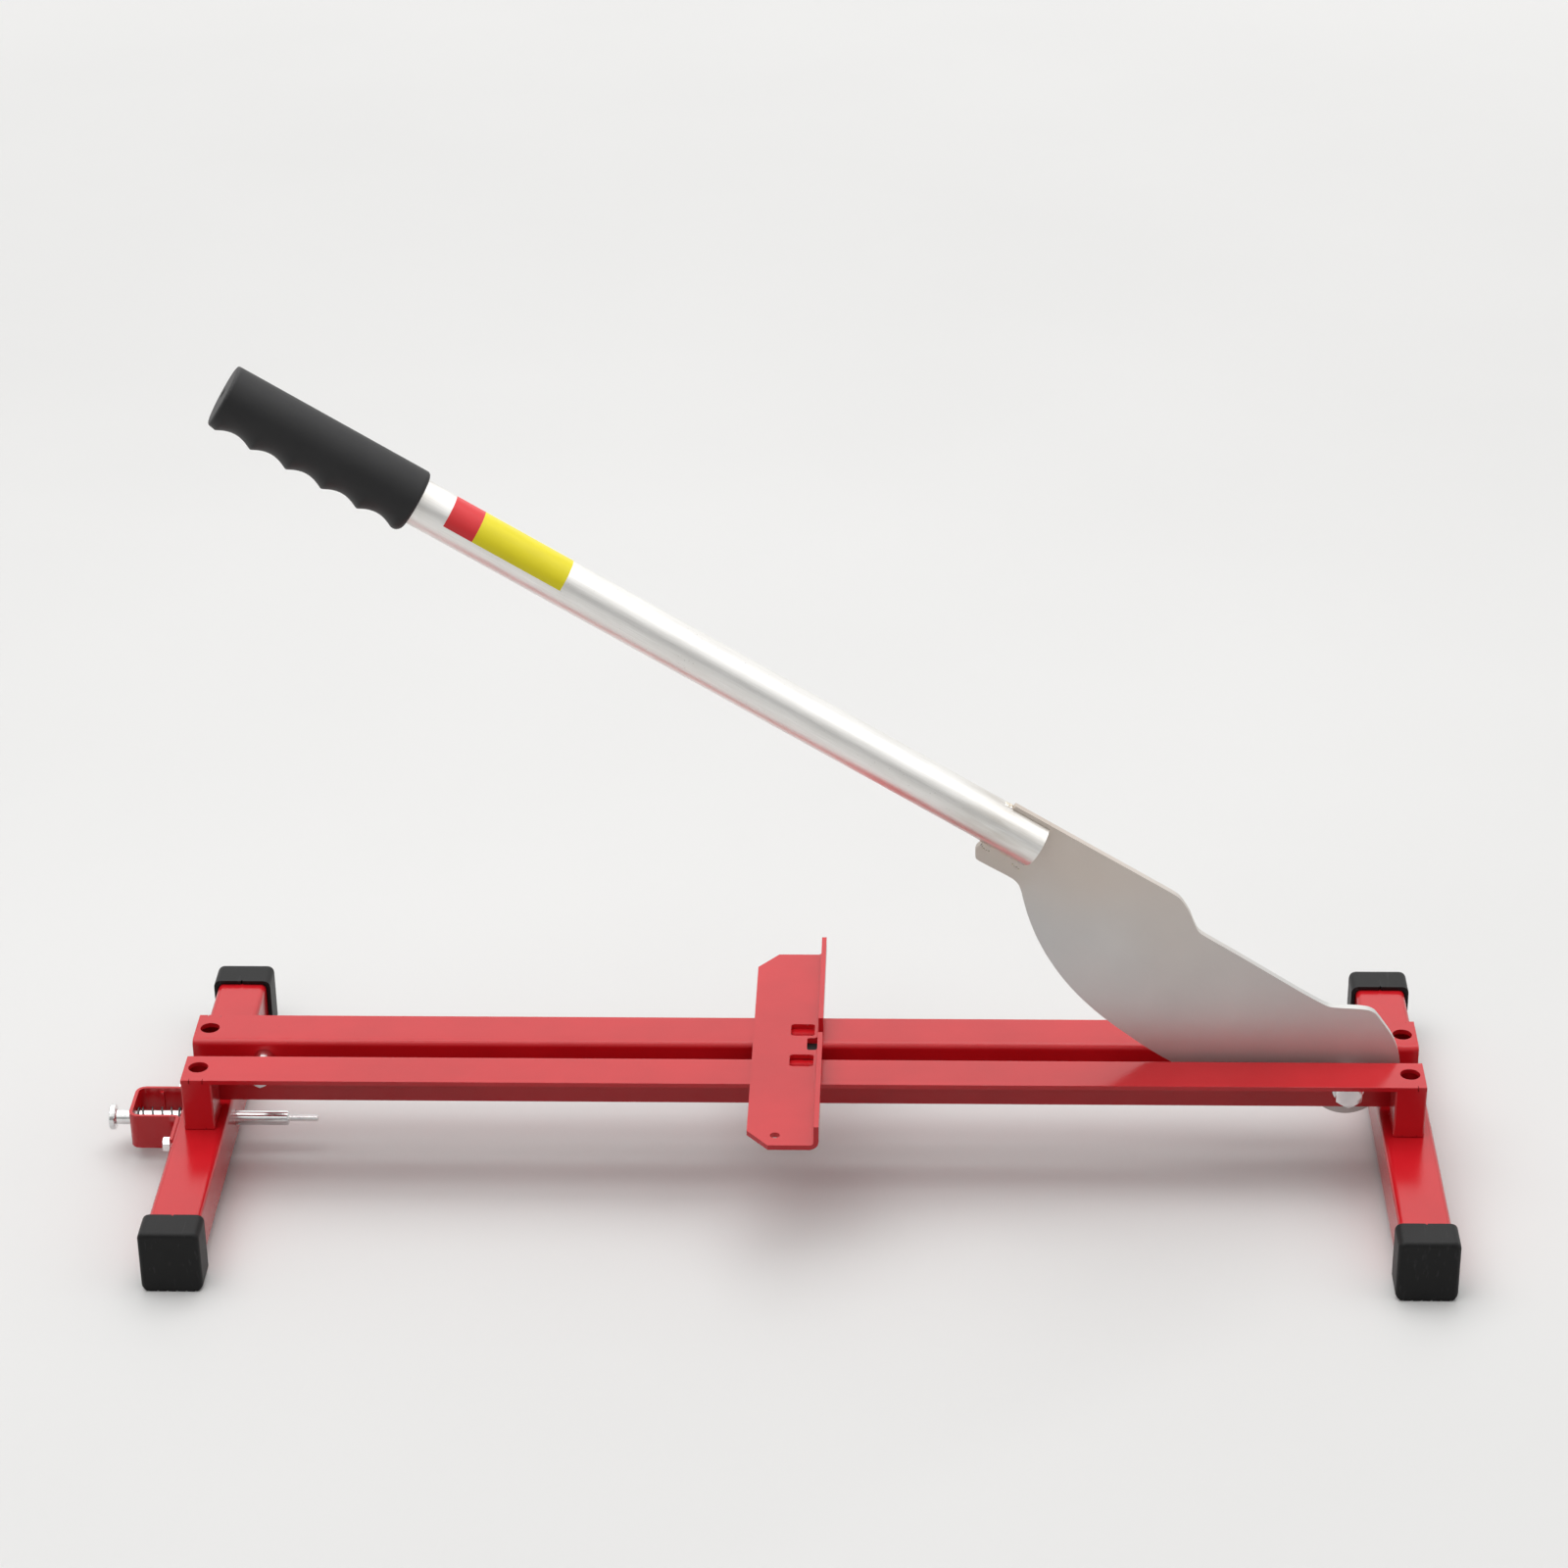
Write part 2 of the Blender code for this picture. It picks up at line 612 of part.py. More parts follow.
grip = add_object("handle_grip", mesh_from_rings("grip", grip_rings), black_rubber, lever, grip_place, smooth=True)
bore = handle_tube_radius + seat_gap
bore_end = -(grip_length - grip_end_wall)
mesh = rod("bore", [(bore_end, bore), (cut_overrun, bore)], "X", round_sides)
combine(grip, add_guide("handle_grip_bore", mesh, grip))
vent = [(-grip_length - cut_overrun, grip_vent_radius), (bore_end + cut_overrun, grip_vent_radius)]
combine(grip, add_guide("handle_grip_vent", rod("vent", vent, "X", small_sides), grip))


def ring_piece(name, outer, inner, low, high, material, place):
    """A washer, spacer or bush along Y."""
    mesh = rod(name, [(low, outer), (high, outer)], "Y", small_sides)
    piece = add_object(name, mesh, material, base, place)
    mesh = rod("bore", [(low - cut_overrun, inner), (high + cut_overrun, inner)], "Y", small_sides)
    return combine(piece, add_guide(name + "_bore", mesh, piece))


def hex_bolt(name, flats, head_low, head_high, radius, tip, place):
    """A bolt along Y: head between two depths, shank to the tip."""
    piece = add_object(name, prism(name, hexagon(flats), "XZ", head_low, head_high), zinc, base, place)
    middle = (head_low + head_high) / 2
    low, high = sorted((middle, tip))
    shank = add_guide(name + "_shank", rod("shank", [(low, radius), (high, radius)], "Y", small_sides), piece)
    return combine(piece, shank, "UNION")


def hex_nut(name, flats, low, high, radius, place):
    """A nut along Y."""
    piece = add_object(name, prism(name, hexagon(flats), "XZ", low, high), zinc, base, place)
    mesh = rod("bore", [(low - cut_overrun, radius), (high + cut_overrun, radius)], "Y", small_sides)
    return combine(piece, add_guide(name + "_bore", mesh, piece))


# Pivot: bolt through both upright legs, washers outside, spacers beside the blade
leg_face = slot_half + rail_thickness
pivot_place = (pivot_x, 0.0, pivot_z)
pivot_bore = pivot_bolt_radius + running_gap
washer_near = leg_face + seat_gap
washer_far = washer_near + pivot_washer_thickness
head_near = washer_far + seat_gap
nut_far = head_near + pivot_nut_height
hex_bolt("pivot_bolt", pivot_head_flats, -head_near - pivot_head_height, -head_near, pivot_bolt_radius,
         nut_far + pivot_thread_stand, pivot_place)
hex_nut("pivot_nut", pivot_head_flats, head_near, nut_far, pivot_bore, pivot_place)
ring_piece("pivot_front_washer", pivot_washer_radius, pivot_bore, -washer_far, -washer_near, zinc, pivot_place)
ring_piece("pivot_back_washer", pivot_washer_radius, pivot_bore, washer_near, washer_far, zinc, pivot_place)
spacer_near = half + running_gap
spacer_far = slot_half - seat_gap
ring_piece("pivot_front_spacer", pivot_spacer_radius, pivot_bore, -spacer_far, -spacer_near, zinc, pivot_place)
ring_piece("pivot_back_spacer", pivot_spacer_radius, pivot_bore, spacer_near, spacer_far, zinc, pivot_place)

# Tie bolt: holds the rails at the slot's width near the left end
tie_place = (tie_x, 0.0, tie_z)
tie_bore = tie_bolt_radius + running_gap
tie_near = leg_face + seat_gap
hex_bolt("tie_bolt", tie_head_flats, -tie_near - tie_head_height, -tie_near, tie_bolt_radius,
         tie_near + tie_nut_height + tie_thread_stand, tie_place)
hex_nut("tie_nut", tie_head_flats, tie_near, tie_near + tie_nut_height, tie_bore, tie_place)
ring_piece("tie_spacer", tie_spacer_radius, tie_bore, -spacer_far, spacer_far, zinc, tie_place)

# Strap: a hat bent from flat strip, its ears against the foot's outer face
middle_half = strap_width / 2 - strap_thickness / 2
ear_middle = -seat_gap - strap_thickness / 2
web_middle = -seat_gap - strap_reach + strap_thickness / 2
ear_end = strap_width / 2 + strap_ear
strap_path = [
    (ear_middle, -ear_end), (ear_middle, -middle_half), (web_middle, -middle_half),
    (web_middle, middle_half), (ear_middle, middle_half), (ear_middle, ear_end),
]
strap_half = strap_height / 2
strap_bends = (strap_ear_round, strap_bend_round, strap_bend_round, strap_ear_round)
outline = strap_outline(strap_path, strap_thickness, strap_bends)
mesh = prism("latch_strap", outline, "XY", -strap_half, strap_half)
strap = add_object("latch_strap", mesh, red_paint, base, (foot_left_face, 0.0, foot_axis_z))
pin_bore = pin_radius + running_gap
web_low = -seat_gap - strap_reach - cut_overrun
mesh = rod("bore", [(web_low, pin_bore), (web_low + strap_thickness + 2 * cut_overrun, pin_bore)], "X", small_sides)
combine(strap, add_guide("latch_strap_pin_bore", mesh, strap))
rib_low = web_middle + strap_reach * strap_rib_place_share
rib_wall = strap_width / 2 - strap_thickness
rib = [
    (rib_low, rib_wall - strap_rib_depth), (rib_low + strap_rib_width, rib_wall - strap_rib_depth),
    (rib_low + strap_rib_width, rib_wall + strap_thickness / 2), (rib_low, rib_wall + strap_thickness / 2),
]
rib_top = strap_half - strap_thickness
mesh = prism("rib", rib, "XY", rib_top - strap_height * strap_rib_height_share, rib_top)
combine(strap, add_guide("latch_strap_rib", mesh, strap), "UNION")

# Ear screws, tapped into the foot's outer wall
screw_y = strap_width / 2 + strap_ear / 2
screw_bore = ear_screw_radius + seat_gap
left_foot = feet["left"]
for end, sign in (("front", -1.0), ("back", 1.0)):
    mesh = rod("bore", [(web_low, screw_bore), (cut_overrun, screw_bore)], "X", small_sides)
    combine(strap, add_guide("latch_strap_" + end + "_hole", mesh, strap, (0.0, sign * screw_y, 0.0)))
    wall = -foot_half_width
    stations = [(wall - cut_overrun, screw_bore), (wall + foot_tube_wall + cut_overrun, screw_bore)]
    cutter = add_guide("left_foot_" + end + "_hole", rod("bore", stations, "X", small_sides), left_foot)
    cutter.location = (0.0, sign * screw_y, 0.0)
    combine(left_foot, cutter)
    name = "strap_" + end + "_screw"
    head_high = -2 * seat_gap - strap_thickness
    head_low = head_high - ear_screw_head
    outline = [(v, u) for u, v in hexagon(ear_screw_flats)]
    screw = add_object(name, prism(name, outline, "YZ", head_low, head_high), zinc, base,
                       (foot_left_face, sign * screw_y, foot_axis_z))
    stations = [((head_low + head_high) / 2, ear_screw_radius), (ear_screw_length, ear_screw_radius)]
    combine(screw, add_guide(name + "_shank", rod("shank", stations, "X", small_sides), screw), "UNION")

# Pin holes through both walls of the left foot
for label, wall in (("outer", -foot_half_width), ("inner", foot_half_width - foot_tube_wall)):
    stations = [(wall - cut_overrun / 2, pin_bore), (wall + foot_tube_wall + cut_overrun / 2, pin_bore)]
    mesh = rod("bore", stations, "X", small_sides)
    combine(left_foot, add_guide("left_foot_" + label + "_pin_bore", mesh, left_foot))

# Pull pin: an empty on its line at the strap, the pin turned about X
latch = bpy.data.objects.new("latch_axis", None)
bpy.context.scene.collection.objects.link(latch)
latch.parent = base
latch.location = (strap_outer_x, 0.0, foot_axis_z)
head_left = -pin_head_stand - pin_head_thickness
clip_right = strap_reach
clip_left = clip_right - clip_thickness
groove = pin_radius - clip_groove_depth
body_end = strap_reach + seat_gap + foot_tube_width + pin_body_past_foot
edge = pin_edge_round
pin_stations = [
    (head_left, pin_head_radius - edge), (head_left + edge, pin_head_radius),
    (-pin_head_stand - edge, pin_head_radius), (-pin_head_stand, pin_head_radius - edge),
    (-pin_head_stand, pin_radius), (clip_left - seat_gap, pin_radius), (clip_left - seat_gap, groove),
    (clip_right + seat_gap / 2, groove), (clip_right + seat_gap / 2, pin_radius),
    (body_end - edge, pin_radius), (body_end, pin_radius - edge), (body_end, pin_tip_radius),
    (body_end + pin_tip_length - edge, pin_tip_radius), (body_end + pin_tip_length, pin_tip_radius - edge),
]
add_object("latch_pin", rod("latch_pin", pin_stations, "X", 24), zinc, latch, smooth=True)

# Retaining clip: an open ring in the pin's groove
clip_bore = groove + seat_gap
mesh = rod("latch_clip", [(clip_left, clip_radius), (clip_right, clip_radius)], "X", 24)
clip = add_object("latch_clip", mesh, zinc, latch)
stations = [(clip_left - cut_overrun, clip_bore), (clip_right + cut_overrun, clip_bore)]
combine(clip, add_guide("latch_clip_bore", rod("bore", stations, "X", 24), clip))
mouth = clip_bore * clip_mouth_share
mouth_end = clip_radius + cut_overrun
outline = [(-mouth, -mouth_end), (mouth, -mouth_end), (mouth, 0.0), (-mouth, 0.0)]
mesh = prism("mouth", outline, "YZ", clip_left - cut_overrun, clip_right + cut_overrun)
combine(clip, add_guide("latch_clip_mouth", mesh, clip))

# Compression spring on the pin between the strap's web and the clip
spring_start = strap_thickness + seat_gap + spring_wire_radius
spring_end = clip_left - seat_gap - spring_wire_radius
open_length = spring_end - spring_start - 2 * spring_end_pitch
open_pitch = open_length / spring_open_turns
spring_points = []
total_turns = spring_open_turns + 2
point_count = total_turns * spring_points_per_turn
for index in range(point_count + 1):
    turn = index / spring_points_per_turn
    if turn <= 1.0:
        along = spring_start + spring_end_pitch * turn
    elif turn <= 1.0 + spring_open_turns:
        along = spring_start + spring_end_pitch + open_pitch * (turn - 1.0)
    else:
        along = spring_end - spring_end_pitch * (total_turns - turn)
    angle = math.tau * turn
    spring_points.append(Vector((along, spring_coil_radius * math.cos(angle), spring_coil_radius * math.sin(angle))))
spring_curve = bpy.data.curves.new("latch_spring", "CURVE")
spring_curve.dimensions = "3D"
spring_curve.bevel_depth = spring_wire_radius
spring_curve.bevel_resolution = 1
spring_curve.use_fill_caps = True
line = spring_curve.splines.new("POLY")
line.points.add(len(spring_points) - 1)
for slot_point, place in zip(line.points, spring_points):
    slot_point.co = (*place, 1.0)
spring_curve.materials.append(spring_steel)
spring = bpy.data.objects.new("latch_spring", spring_curve)
bpy.context.scene.collection.objects.link(spring)
spring.parent = latch
least = min(
    (a - b).length
    for i, a in enumerate(spring_points)
    for b in spring_points[i + spring_points_per_turn // 2:]
) - 2 * spring_wire_radius
print("latch_spring least gap to itself, mm:", round(least * 1000, 3))
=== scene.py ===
import math

import bmesh
import bpy
from mathutils import Matrix, Vector


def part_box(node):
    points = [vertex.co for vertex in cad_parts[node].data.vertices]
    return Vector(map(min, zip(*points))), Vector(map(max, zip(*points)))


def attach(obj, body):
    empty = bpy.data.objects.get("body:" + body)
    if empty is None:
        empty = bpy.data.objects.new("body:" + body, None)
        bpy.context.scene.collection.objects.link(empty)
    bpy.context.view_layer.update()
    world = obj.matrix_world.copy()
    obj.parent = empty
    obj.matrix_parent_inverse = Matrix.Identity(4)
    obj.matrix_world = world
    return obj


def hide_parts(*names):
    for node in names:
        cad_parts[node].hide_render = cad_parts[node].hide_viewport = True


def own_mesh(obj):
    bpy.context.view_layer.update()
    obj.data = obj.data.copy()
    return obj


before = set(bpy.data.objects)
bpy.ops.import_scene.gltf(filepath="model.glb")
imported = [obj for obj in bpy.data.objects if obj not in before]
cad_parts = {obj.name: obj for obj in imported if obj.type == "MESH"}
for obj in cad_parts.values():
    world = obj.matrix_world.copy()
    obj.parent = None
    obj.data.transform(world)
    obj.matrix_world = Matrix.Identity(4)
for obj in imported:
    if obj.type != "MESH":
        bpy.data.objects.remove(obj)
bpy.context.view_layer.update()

# Sizes from the model
_, rail_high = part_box("front_rail")
foot_low, foot_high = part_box("left_foot_tube")
fence_low, fence_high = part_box("fence_plate")
pivot_low, pivot_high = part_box("pivot_bolt")
pin_low, pin_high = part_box("latch_pin")
clip_low, clip_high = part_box("latch_clip")

rail_top = rail_high.z
slot_half = -rail_high.y
rail_wall = 0.0025
seat_gap = 0.0003
pivot_point = Vector(((pivot_low.x + pivot_high.x) / 2, 0.0, (pivot_low.z + pivot_high.z) / 2))
foot_line = (foot_low.z + foot_high.z) / 2
corners = [(side, end) for side in ("left", "right") for end in ("front", "back")]

# Sizes of the lever
lever_angle = math.radians(31.82)
tube_rise = 0.0297
tube_radius = 0.0114
tube_wall = 0.0015
tube_start = 0.2030
tube_length = 0.4433
tube_end = tube_start + tube_length
plate_thickness = 0.0040
plate_reach = 0.2279
plate_rise = 0.0445
plate_insertion = 0.0249
slit_half = 0.0022
grind_width = 0.0075
lobe_radius = 0.0190
grip_length = 0.1020
grip_end_wall = 0.0028
lever_place = Matrix.Translation(pivot_point) @ Matrix.Rotation(lever_angle, 4, "Y")

# Sizes of the fence's openings
fence_slot_middle = 0.0146
fence_slot_reach = 0.0067
fence_slot_share = 0.84
fence_slot_room = 0.0164
fence_slot_start = fence_high.x - 0.0162
fence_slot_end = fence_high.x - 0.0044
notch_reach = 0.0059
notch_depth = 0.0081
notch_shift = 0.0022
flange_notch_shift = 0.0042


# Node maths in Python
def arithmetic(operation, flipped=False):
    """A method that puts a Math node between a signal and another signal or number."""

    def method(self, other):
        pair = [other, self] if flipped else [self, other]
        return self.sheet.node("ShaderNodeMath", pair, operation=operation)["Value"]

    return method


class Signal:
    """One node output that can be added, scaled and compared as a number is."""

    def __init__(self, sheet, socket):
        self.sheet = sheet
        self.socket = socket

    __add__ = arithmetic("ADD")
    __sub__ = arithmetic("SUBTRACT")
    __mul__ = arithmetic("MULTIPLY")
    __truediv__ = arithmetic("DIVIDE")
    __pow__ = arithmetic("POWER")
    __gt__ = arithmetic("GREATER_THAN")
    __lt__ = arithmetic("LESS_THAN")
    __radd__ = arithmetic("ADD", flipped=True)
    __rsub__ = arithmetic("SUBTRACT", flipped=True)
    __rmul__ = arithmetic("MULTIPLY", flipped=True)
    at_least = arithmetic("MAXIMUM")
    at_most = arithmetic("MINIMUM")
    turn_from = arithmetic("ARCTAN2")

    def __neg__(self):
        return self * -1.0

    def maths(self, operation):
        return self.sheet.node("ShaderNodeMath", [self], operation=operation)["Value"]

    def ramp(self, low, high, smooth=False):
        """0 below low, 1 above high, straight or smooth in between."""
        kind = "SMOOTHSTEP" if smooth else "LINEAR"
        sockets = {"Value": self, "From Min": low, "From Max": high}
        return self.sheet.node("ShaderNodeMapRange", sockets, interpolation_type=kind)["Result"]


class Outputs:
    """The outputs of one node as signals."""

    def __init__(self, sheet, made):
        self.sheet = sheet
        self.made = made

    def __getitem__(self, key):
        return Signal(self.sheet, find_socket(self.made.outputs, key))


def find_socket(sockets, key):
    """A socket by index, identifier or name."""
    if isinstance(key, int):
        return sockets[key]
    for socket in sockets:
        if socket.identifier == key:
            return socket
    return sockets[key]


class Sheet:
    """A node tree that is written as expressions."""

    def __init__(self, tree):
        self.tree = tree

    def node(self, kind, sockets=(), **settings):
        """Adds a node: its settings first, then the values or links of its sockets."""
        made = self.tree.nodes.new(kind)
        for key, value in settings.items():
            if key == "stops":
                self.set_stops(made.color_ramp, value)
            else:
                setattr(made, key, value)
        pairs = sockets.items() if isinstance(sockets, dict) else enumerate(sockets)
        for key, value in pairs:
            socket = find_socket(made.inputs, key)
            if isinstance(value, Signal):
                self.tree.links.new(value.socket, socket)
            elif socket.type == "RGBA" and len(value) == 3:
                socket.default_value = (*value, 1.0)
            else:
                socket.default_value = value
        return Outputs(self, made)

    def set_stops(self, band, stops):
        while len(band.elements) < len(stops):
            band.elements.new(0.5)
        for element, (position, colour) in zip(band.elements, stops):
            element.position = position
            element.color = (*colour, 1.0)

    def place(self):
        """Where a point of the surface is, in metres."""
        return self.node("ShaderNodeTexCoord")["Object"]

    def lever_place(self):
        """The same in the lever's own axes."""
        turn = (0.0, lever_angle, 0.0)
        sockets = {"Vector": self.place(), "Location": tuple(pivot_point), "Rotation": turn}
        return self.node("ShaderNodeMapping", sockets, vector_type="TEXTURE")["Vector"]

    def parts(self, vector):
        made = self.node("ShaderNodeSeparateXYZ", {"Vector": vector})
        return made["X"], made["Y"], made["Z"]

    def vector(self, x, y, z):
        return self.node("ShaderNodeCombineXYZ", [x, y, z])["Vector"]

    def noise(self, place, scale, detail=2.0, roughness=0.5, press=None):
        """Noise, which may be pressed together along each axis by a factor."""
        if press:
            sockets = {"Vector": place, "Scale": press}
            place = self.node("ShaderNodeMapping", sockets, vector_type="POINT")["Vector"]
        sockets = {"Vector": place, "Scale": scale, "Detail": detail, "Roughness": roughness}
        return self.node("ShaderNodeTexNoise", sockets, noise_dimensions="3D")["Fac"]

    def cells(self, place, scale):
        sockets = {"Vector": place, "Scale": scale}
        return self.node("ShaderNodeTexVoronoi", sockets, feature="F1")["Distance"]

    def blend(self, share, first, second):
        """A colour between two colours."""
        sockets = {"Factor_Float": share, "A_Color": first, "B_Color": second}
        return self.node("ShaderNodeMix", sockets, data_type="RGBA")["Result_Color"]

    def bump(self, height, distance, strength):
        sockets = {"Height": height, "Distance": distance, "Strength": strength}
        return self.node("ShaderNodeBump", sockets)["Normal"]


class Finish(Sheet):
    """A material: even values on its shader's sockets, signals in the others."""

    def __init__(self, name, **even):
        self.material = bpy.data.materials.new(name)
        self.material.use_nodes = True
        super().__init__(self.material.node_tree)
        self.shader = self.tree.nodes["Principled BSDF"]
        for label, value in even.items():
            self.shader.inputs[label.replace("_", " ")].default_value = value

    def feed(self, **signals):
        for label, signal in signals.items():
            self.tree.links.new(signal.socket, self.shader.inputs[label.replace("_", " ")])
        return self.material

    def cover(self, colour, roughness, height, depth, strength, **more):
        """Feeds the sockets that every surface here has."""
        normal = self.bump(height, depth, strength)
        return self.feed(Base_Color=colour, Roughness=roughness, Normal=normal, **more)


# Finishes
def make_red_coat():
    """Gloss red powder coat: orange peel, soft clouds, a few dust nibs."""
    coat = Finish("red_coat", IOR=1.46)
    place = coat.place()
    cloud = coat.noise(place, 22.0, 3.0, 0.55)
    peel = coat.noise(place, 620.0, 2.0, 0.55)
    fine = coat.noise(place, 2400.0, 1.0)
    nib = coat.cells(place, 130.0) < 0.035
    colour = coat.blend(cloud.ramp(0.3, 0.7), (0.572, 0.0088, 0.0148), (0.645, 0.0118, 0.0193))
    colour = coat.blend(nib * 0.35, colour, (0.30, 0.006, 0.010))
    roughness = 0.13 + 0.08 * cloud + 0.05 * fine
    return coat.cover(colour, roughness, peel + 0.25 * fine + 0.8 * nib, 0.00006, 0.55)


def make_red_weld():
    """The same coat where it has run thick over a weld."""
    coat = Finish("red_weld_coat", IOR=1.44)
    lump = coat.noise(coat.place(), 900.0, 2.0, 0.6)
    colour = coat.blend(lump.ramp(0.35, 0.65), (0.40, 0.006, 0.011), (0.56, 0.011, 0.019))
    return coat.cover(colour, 0.22 + 0.16 * lump, lump, 0.00012, 0.6)


def make_shoe_plastic():
    """Black moulded polyethylene: even spark grain, faint scuffs on the faces."""
    plastic = Finish("shoe_plastic", IOR=1.48, Specular_IOR_Level=0.24)
    place = plastic.place()
    grain = plastic.noise(place, 1500.0, 3.0, 0.6)
    cloud = plastic.noise(place, 38.0, 3.0)
    scuff = plastic.noise(place, 60.0, press=(9.0, 1.0, 3.0)).ramp(0.60, 0.74)
    colour = plastic.blend(cloud.ramp(0.3, 0.7), (0.0048, 0.0048, 0.0050), (0.0086, 0.0086, 0.0089))
    colour = plastic.blend(scuff * 0.5, colour, (0.034, 0.034, 0.035))
    roughness = 0.42 + 0.14 * grain + 0.06 * scuff
    return plastic.cover(colour, roughness, grain + 0.3 * cloud, 0.00004, 0.5)


def make_grip_rubber():
    """Matt black vinyl grip: dipped skin with a fine grain, a mould seam and an end face that is lighter
    and mottled.
    """
    rubber = Finish("grip_rubber", IOR=1.49, Specular_IOR_Level=0.42)
    place = rubber.lever_place()
    along, across, _ = rubber.parts(place)
    grain = rubber.noise(place, 1300.0, 2.0, 0.6)
    cloud = rubber.noise(place, 45.0, 3.0)
    seam = across.maths("ABSOLUTE") < 0.00035
    # The end face and its rim are lighter, in mottled spots
    lighter_end_face = (-along).ramp(0.6472, 0.6486) * grain.ramp(0.30, 0.62)
    colour = rubber.blend(cloud.ramp(0.3, 0.72), (0.0085, 0.0085, 0.0095), (0.0148, 0.0147, 0.0156))
    colour = rubber.blend(lighter_end_face * 0.75, colour, (0.058, 0.058, 0.060))
    roughness = 0.46 + 0.12 * cloud + 0.08 * grain
    return rubber.cover(colour, roughness, 0.5 * grain + 0.5 * cloud + 1.4 * seam, 0.00007, 0.55)


def make_stop_rubber():
    """Moulded stop between the rails: dense black rubber with a dusty bloom."""
    rubber = Finish("stop_rubber", IOR=1.45, Specular_IOR_Level=0.2)
    place = rubber.place()
    bloom = rubber.noise(place, 260.0, 3.0, 0.6)
    grain = rubber.noise(place, 1700.0)
    colour = rubber.blend(bloom.ramp(0.45, 0.75), (0.0020, 0.0020, 0.0020), (0.0070, 0.0068, 0.0062))
    return rubber.cover(colour, 0.34 + 0.2 * bloom, grain + 0.5 * bloom, 0.00005, 0.5)


def make_blade_steel():
    """Satin rolled steel: fine grain, clouded tone, faint rolling lines and a few rubs, a painted warm
    reflection up high and a painted cool reflection low down.
    """
    steel = Finish("blade_satin", Metallic=0.64)
    place = steel.lever_place()
    along, _, rise = steel.parts(place)
    roll = steel.noise(place, 62.0, 3.0, 0.6, press=(1.0, 4.0, 26.0))
    grain = steel.noise(place, 2600.0, 2.0, 0.55)
    cloud = steel.noise(place, 17.0, 3.0)
    drift = steel.noise(place, 11.0, 1.0, 0.4)
    rub = steel.noise(place, 40.0, press=(2.0, 1.0, 60.0)).ramp(0.66, 0.80)
    # Painted reflection: a warm tint up high stands for a brown floor seen in the steel
    warm = (rise * 14.0 + drift * 1.3 - 0.70).ramp(-0.25, 0.45, True) * (-along).ramp(0.02, 0.20, True)
    # Painted reflection: a cool tint low down offsets the red of the rails seen in the steel
    painted_cool_reflection = (-rise * 16.0 + drift * 1.2 - 0.62).ramp(-0.20, 0.50, True) * (-along).ramp(0.10, 0.19, True)
    beside_tube = rise.ramp(0.030, 0.043, True) + rise.ramp(0.022, 0.010, True)
    heat = (-along).ramp(0.1900, 0.2050, True) * beside_tube
    colour = steel.blend(cloud.ramp(0.25, 0.75), (0.600, 0.598, 0.586), (0.680, 0.674, 0.658))
    colour = steel.blend(warm * 0.70, colour, (0.690, 0.596, 0.518))
    colour = steel.blend(painted_cool_reflection * 0.45, colour, (0.580, 0.616, 0.626))
    colour = steel.blend(rub * 0.30, colour, (0.73, 0.73, 0.72))
    colour = steel.blend(heat * 0.14, colour, (0.36, 0.27, 0.17))
    roughness = 0.42 + 0.08 * roll + 0.06 * grain - 0.05 * rub
    return steel.cover(colour, roughness, 0.6 * roll + 0.5 * grain, 0.00003, 0.35)


def make_ground_steel():
    """The cutting bevel: bright, with wheel marks square to the edge."""
    steel = Finish("blade_ground", Metallic=0.86)
    place = steel.lever_place()
    along, _, rise = steel.parts(place)
    turn = (rise + 0.004).turn_from(along + 0.082)
    sockets = {"W": turn, "Scale": 320.0, "Detail": 3.0, "Roughness": 0.7}
    marks = steel.node("ShaderNodeTexNoise", sockets, noise_dimensions="1D")["Fac"]
    grain = steel.noise(place, 1800.0)
    colour = steel.blend(marks.ramp(0.3, 0.7), (0.50, 0.50, 0.49), (0.66, 0.66, 0.65))
    return steel.cover(colour, 0.32 + 0.16 * marks + 0.05 * grain, marks + 0.3 * grain, 0.00004, 0.5)


def make_tube_metal():
    """Drawn tube: long draw lines, dull oxide patches, warm stains by the weld and the grip."""
    metal = Finish("tube_drawn", Metallic=1.0)
    place = metal.lever_place()
    along, _, _ = metal.parts(place)
    lines = metal.noise(place, 95.0, 4.0, 0.65, press=(0.6, 22.0, 22.0))
    fine = metal.noise(place, 260.0, press=(1.0, 30.0, 30.0))
    patch = metal.noise(place, 40.0, 3.0, 0.55, press=(0.45, 3.0, 3.0))
    speck = (metal.cells(place, 420.0) < 0.10) * patch.ramp(0.50, 0.62)
    near_weld = (-along).ramp(0.262, 0.222, True)
    near_grip = (-along).ramp(0.535, 0.548, True)
    stain = patch.ramp(0.38, 0.66) * (0.06 + 0.50 * near_weld + 0.30 * near_grip)
    colour = metal.blend(lines.ramp(0.3, 0.7), (0.800, 0.790, 0.765), (0.920, 0.912, 0.895))
    colour = metal.blend(patch.ramp(0.40, 0.72) * 0.25, colour, (0.70, 0.688, 0.660))
    colour = metal.blend(stain, colour, (0.38, 0.330, 0.260))
    colour = metal.blend(speck * 0.4, colour, (0.24, 0.22, 0.19))
    return metal.cover(colour, 0.31 + 0.07 * patch + 0.08 * lines, 0.8 * lines + 0.4 * fine, 0.00003, 0.4)


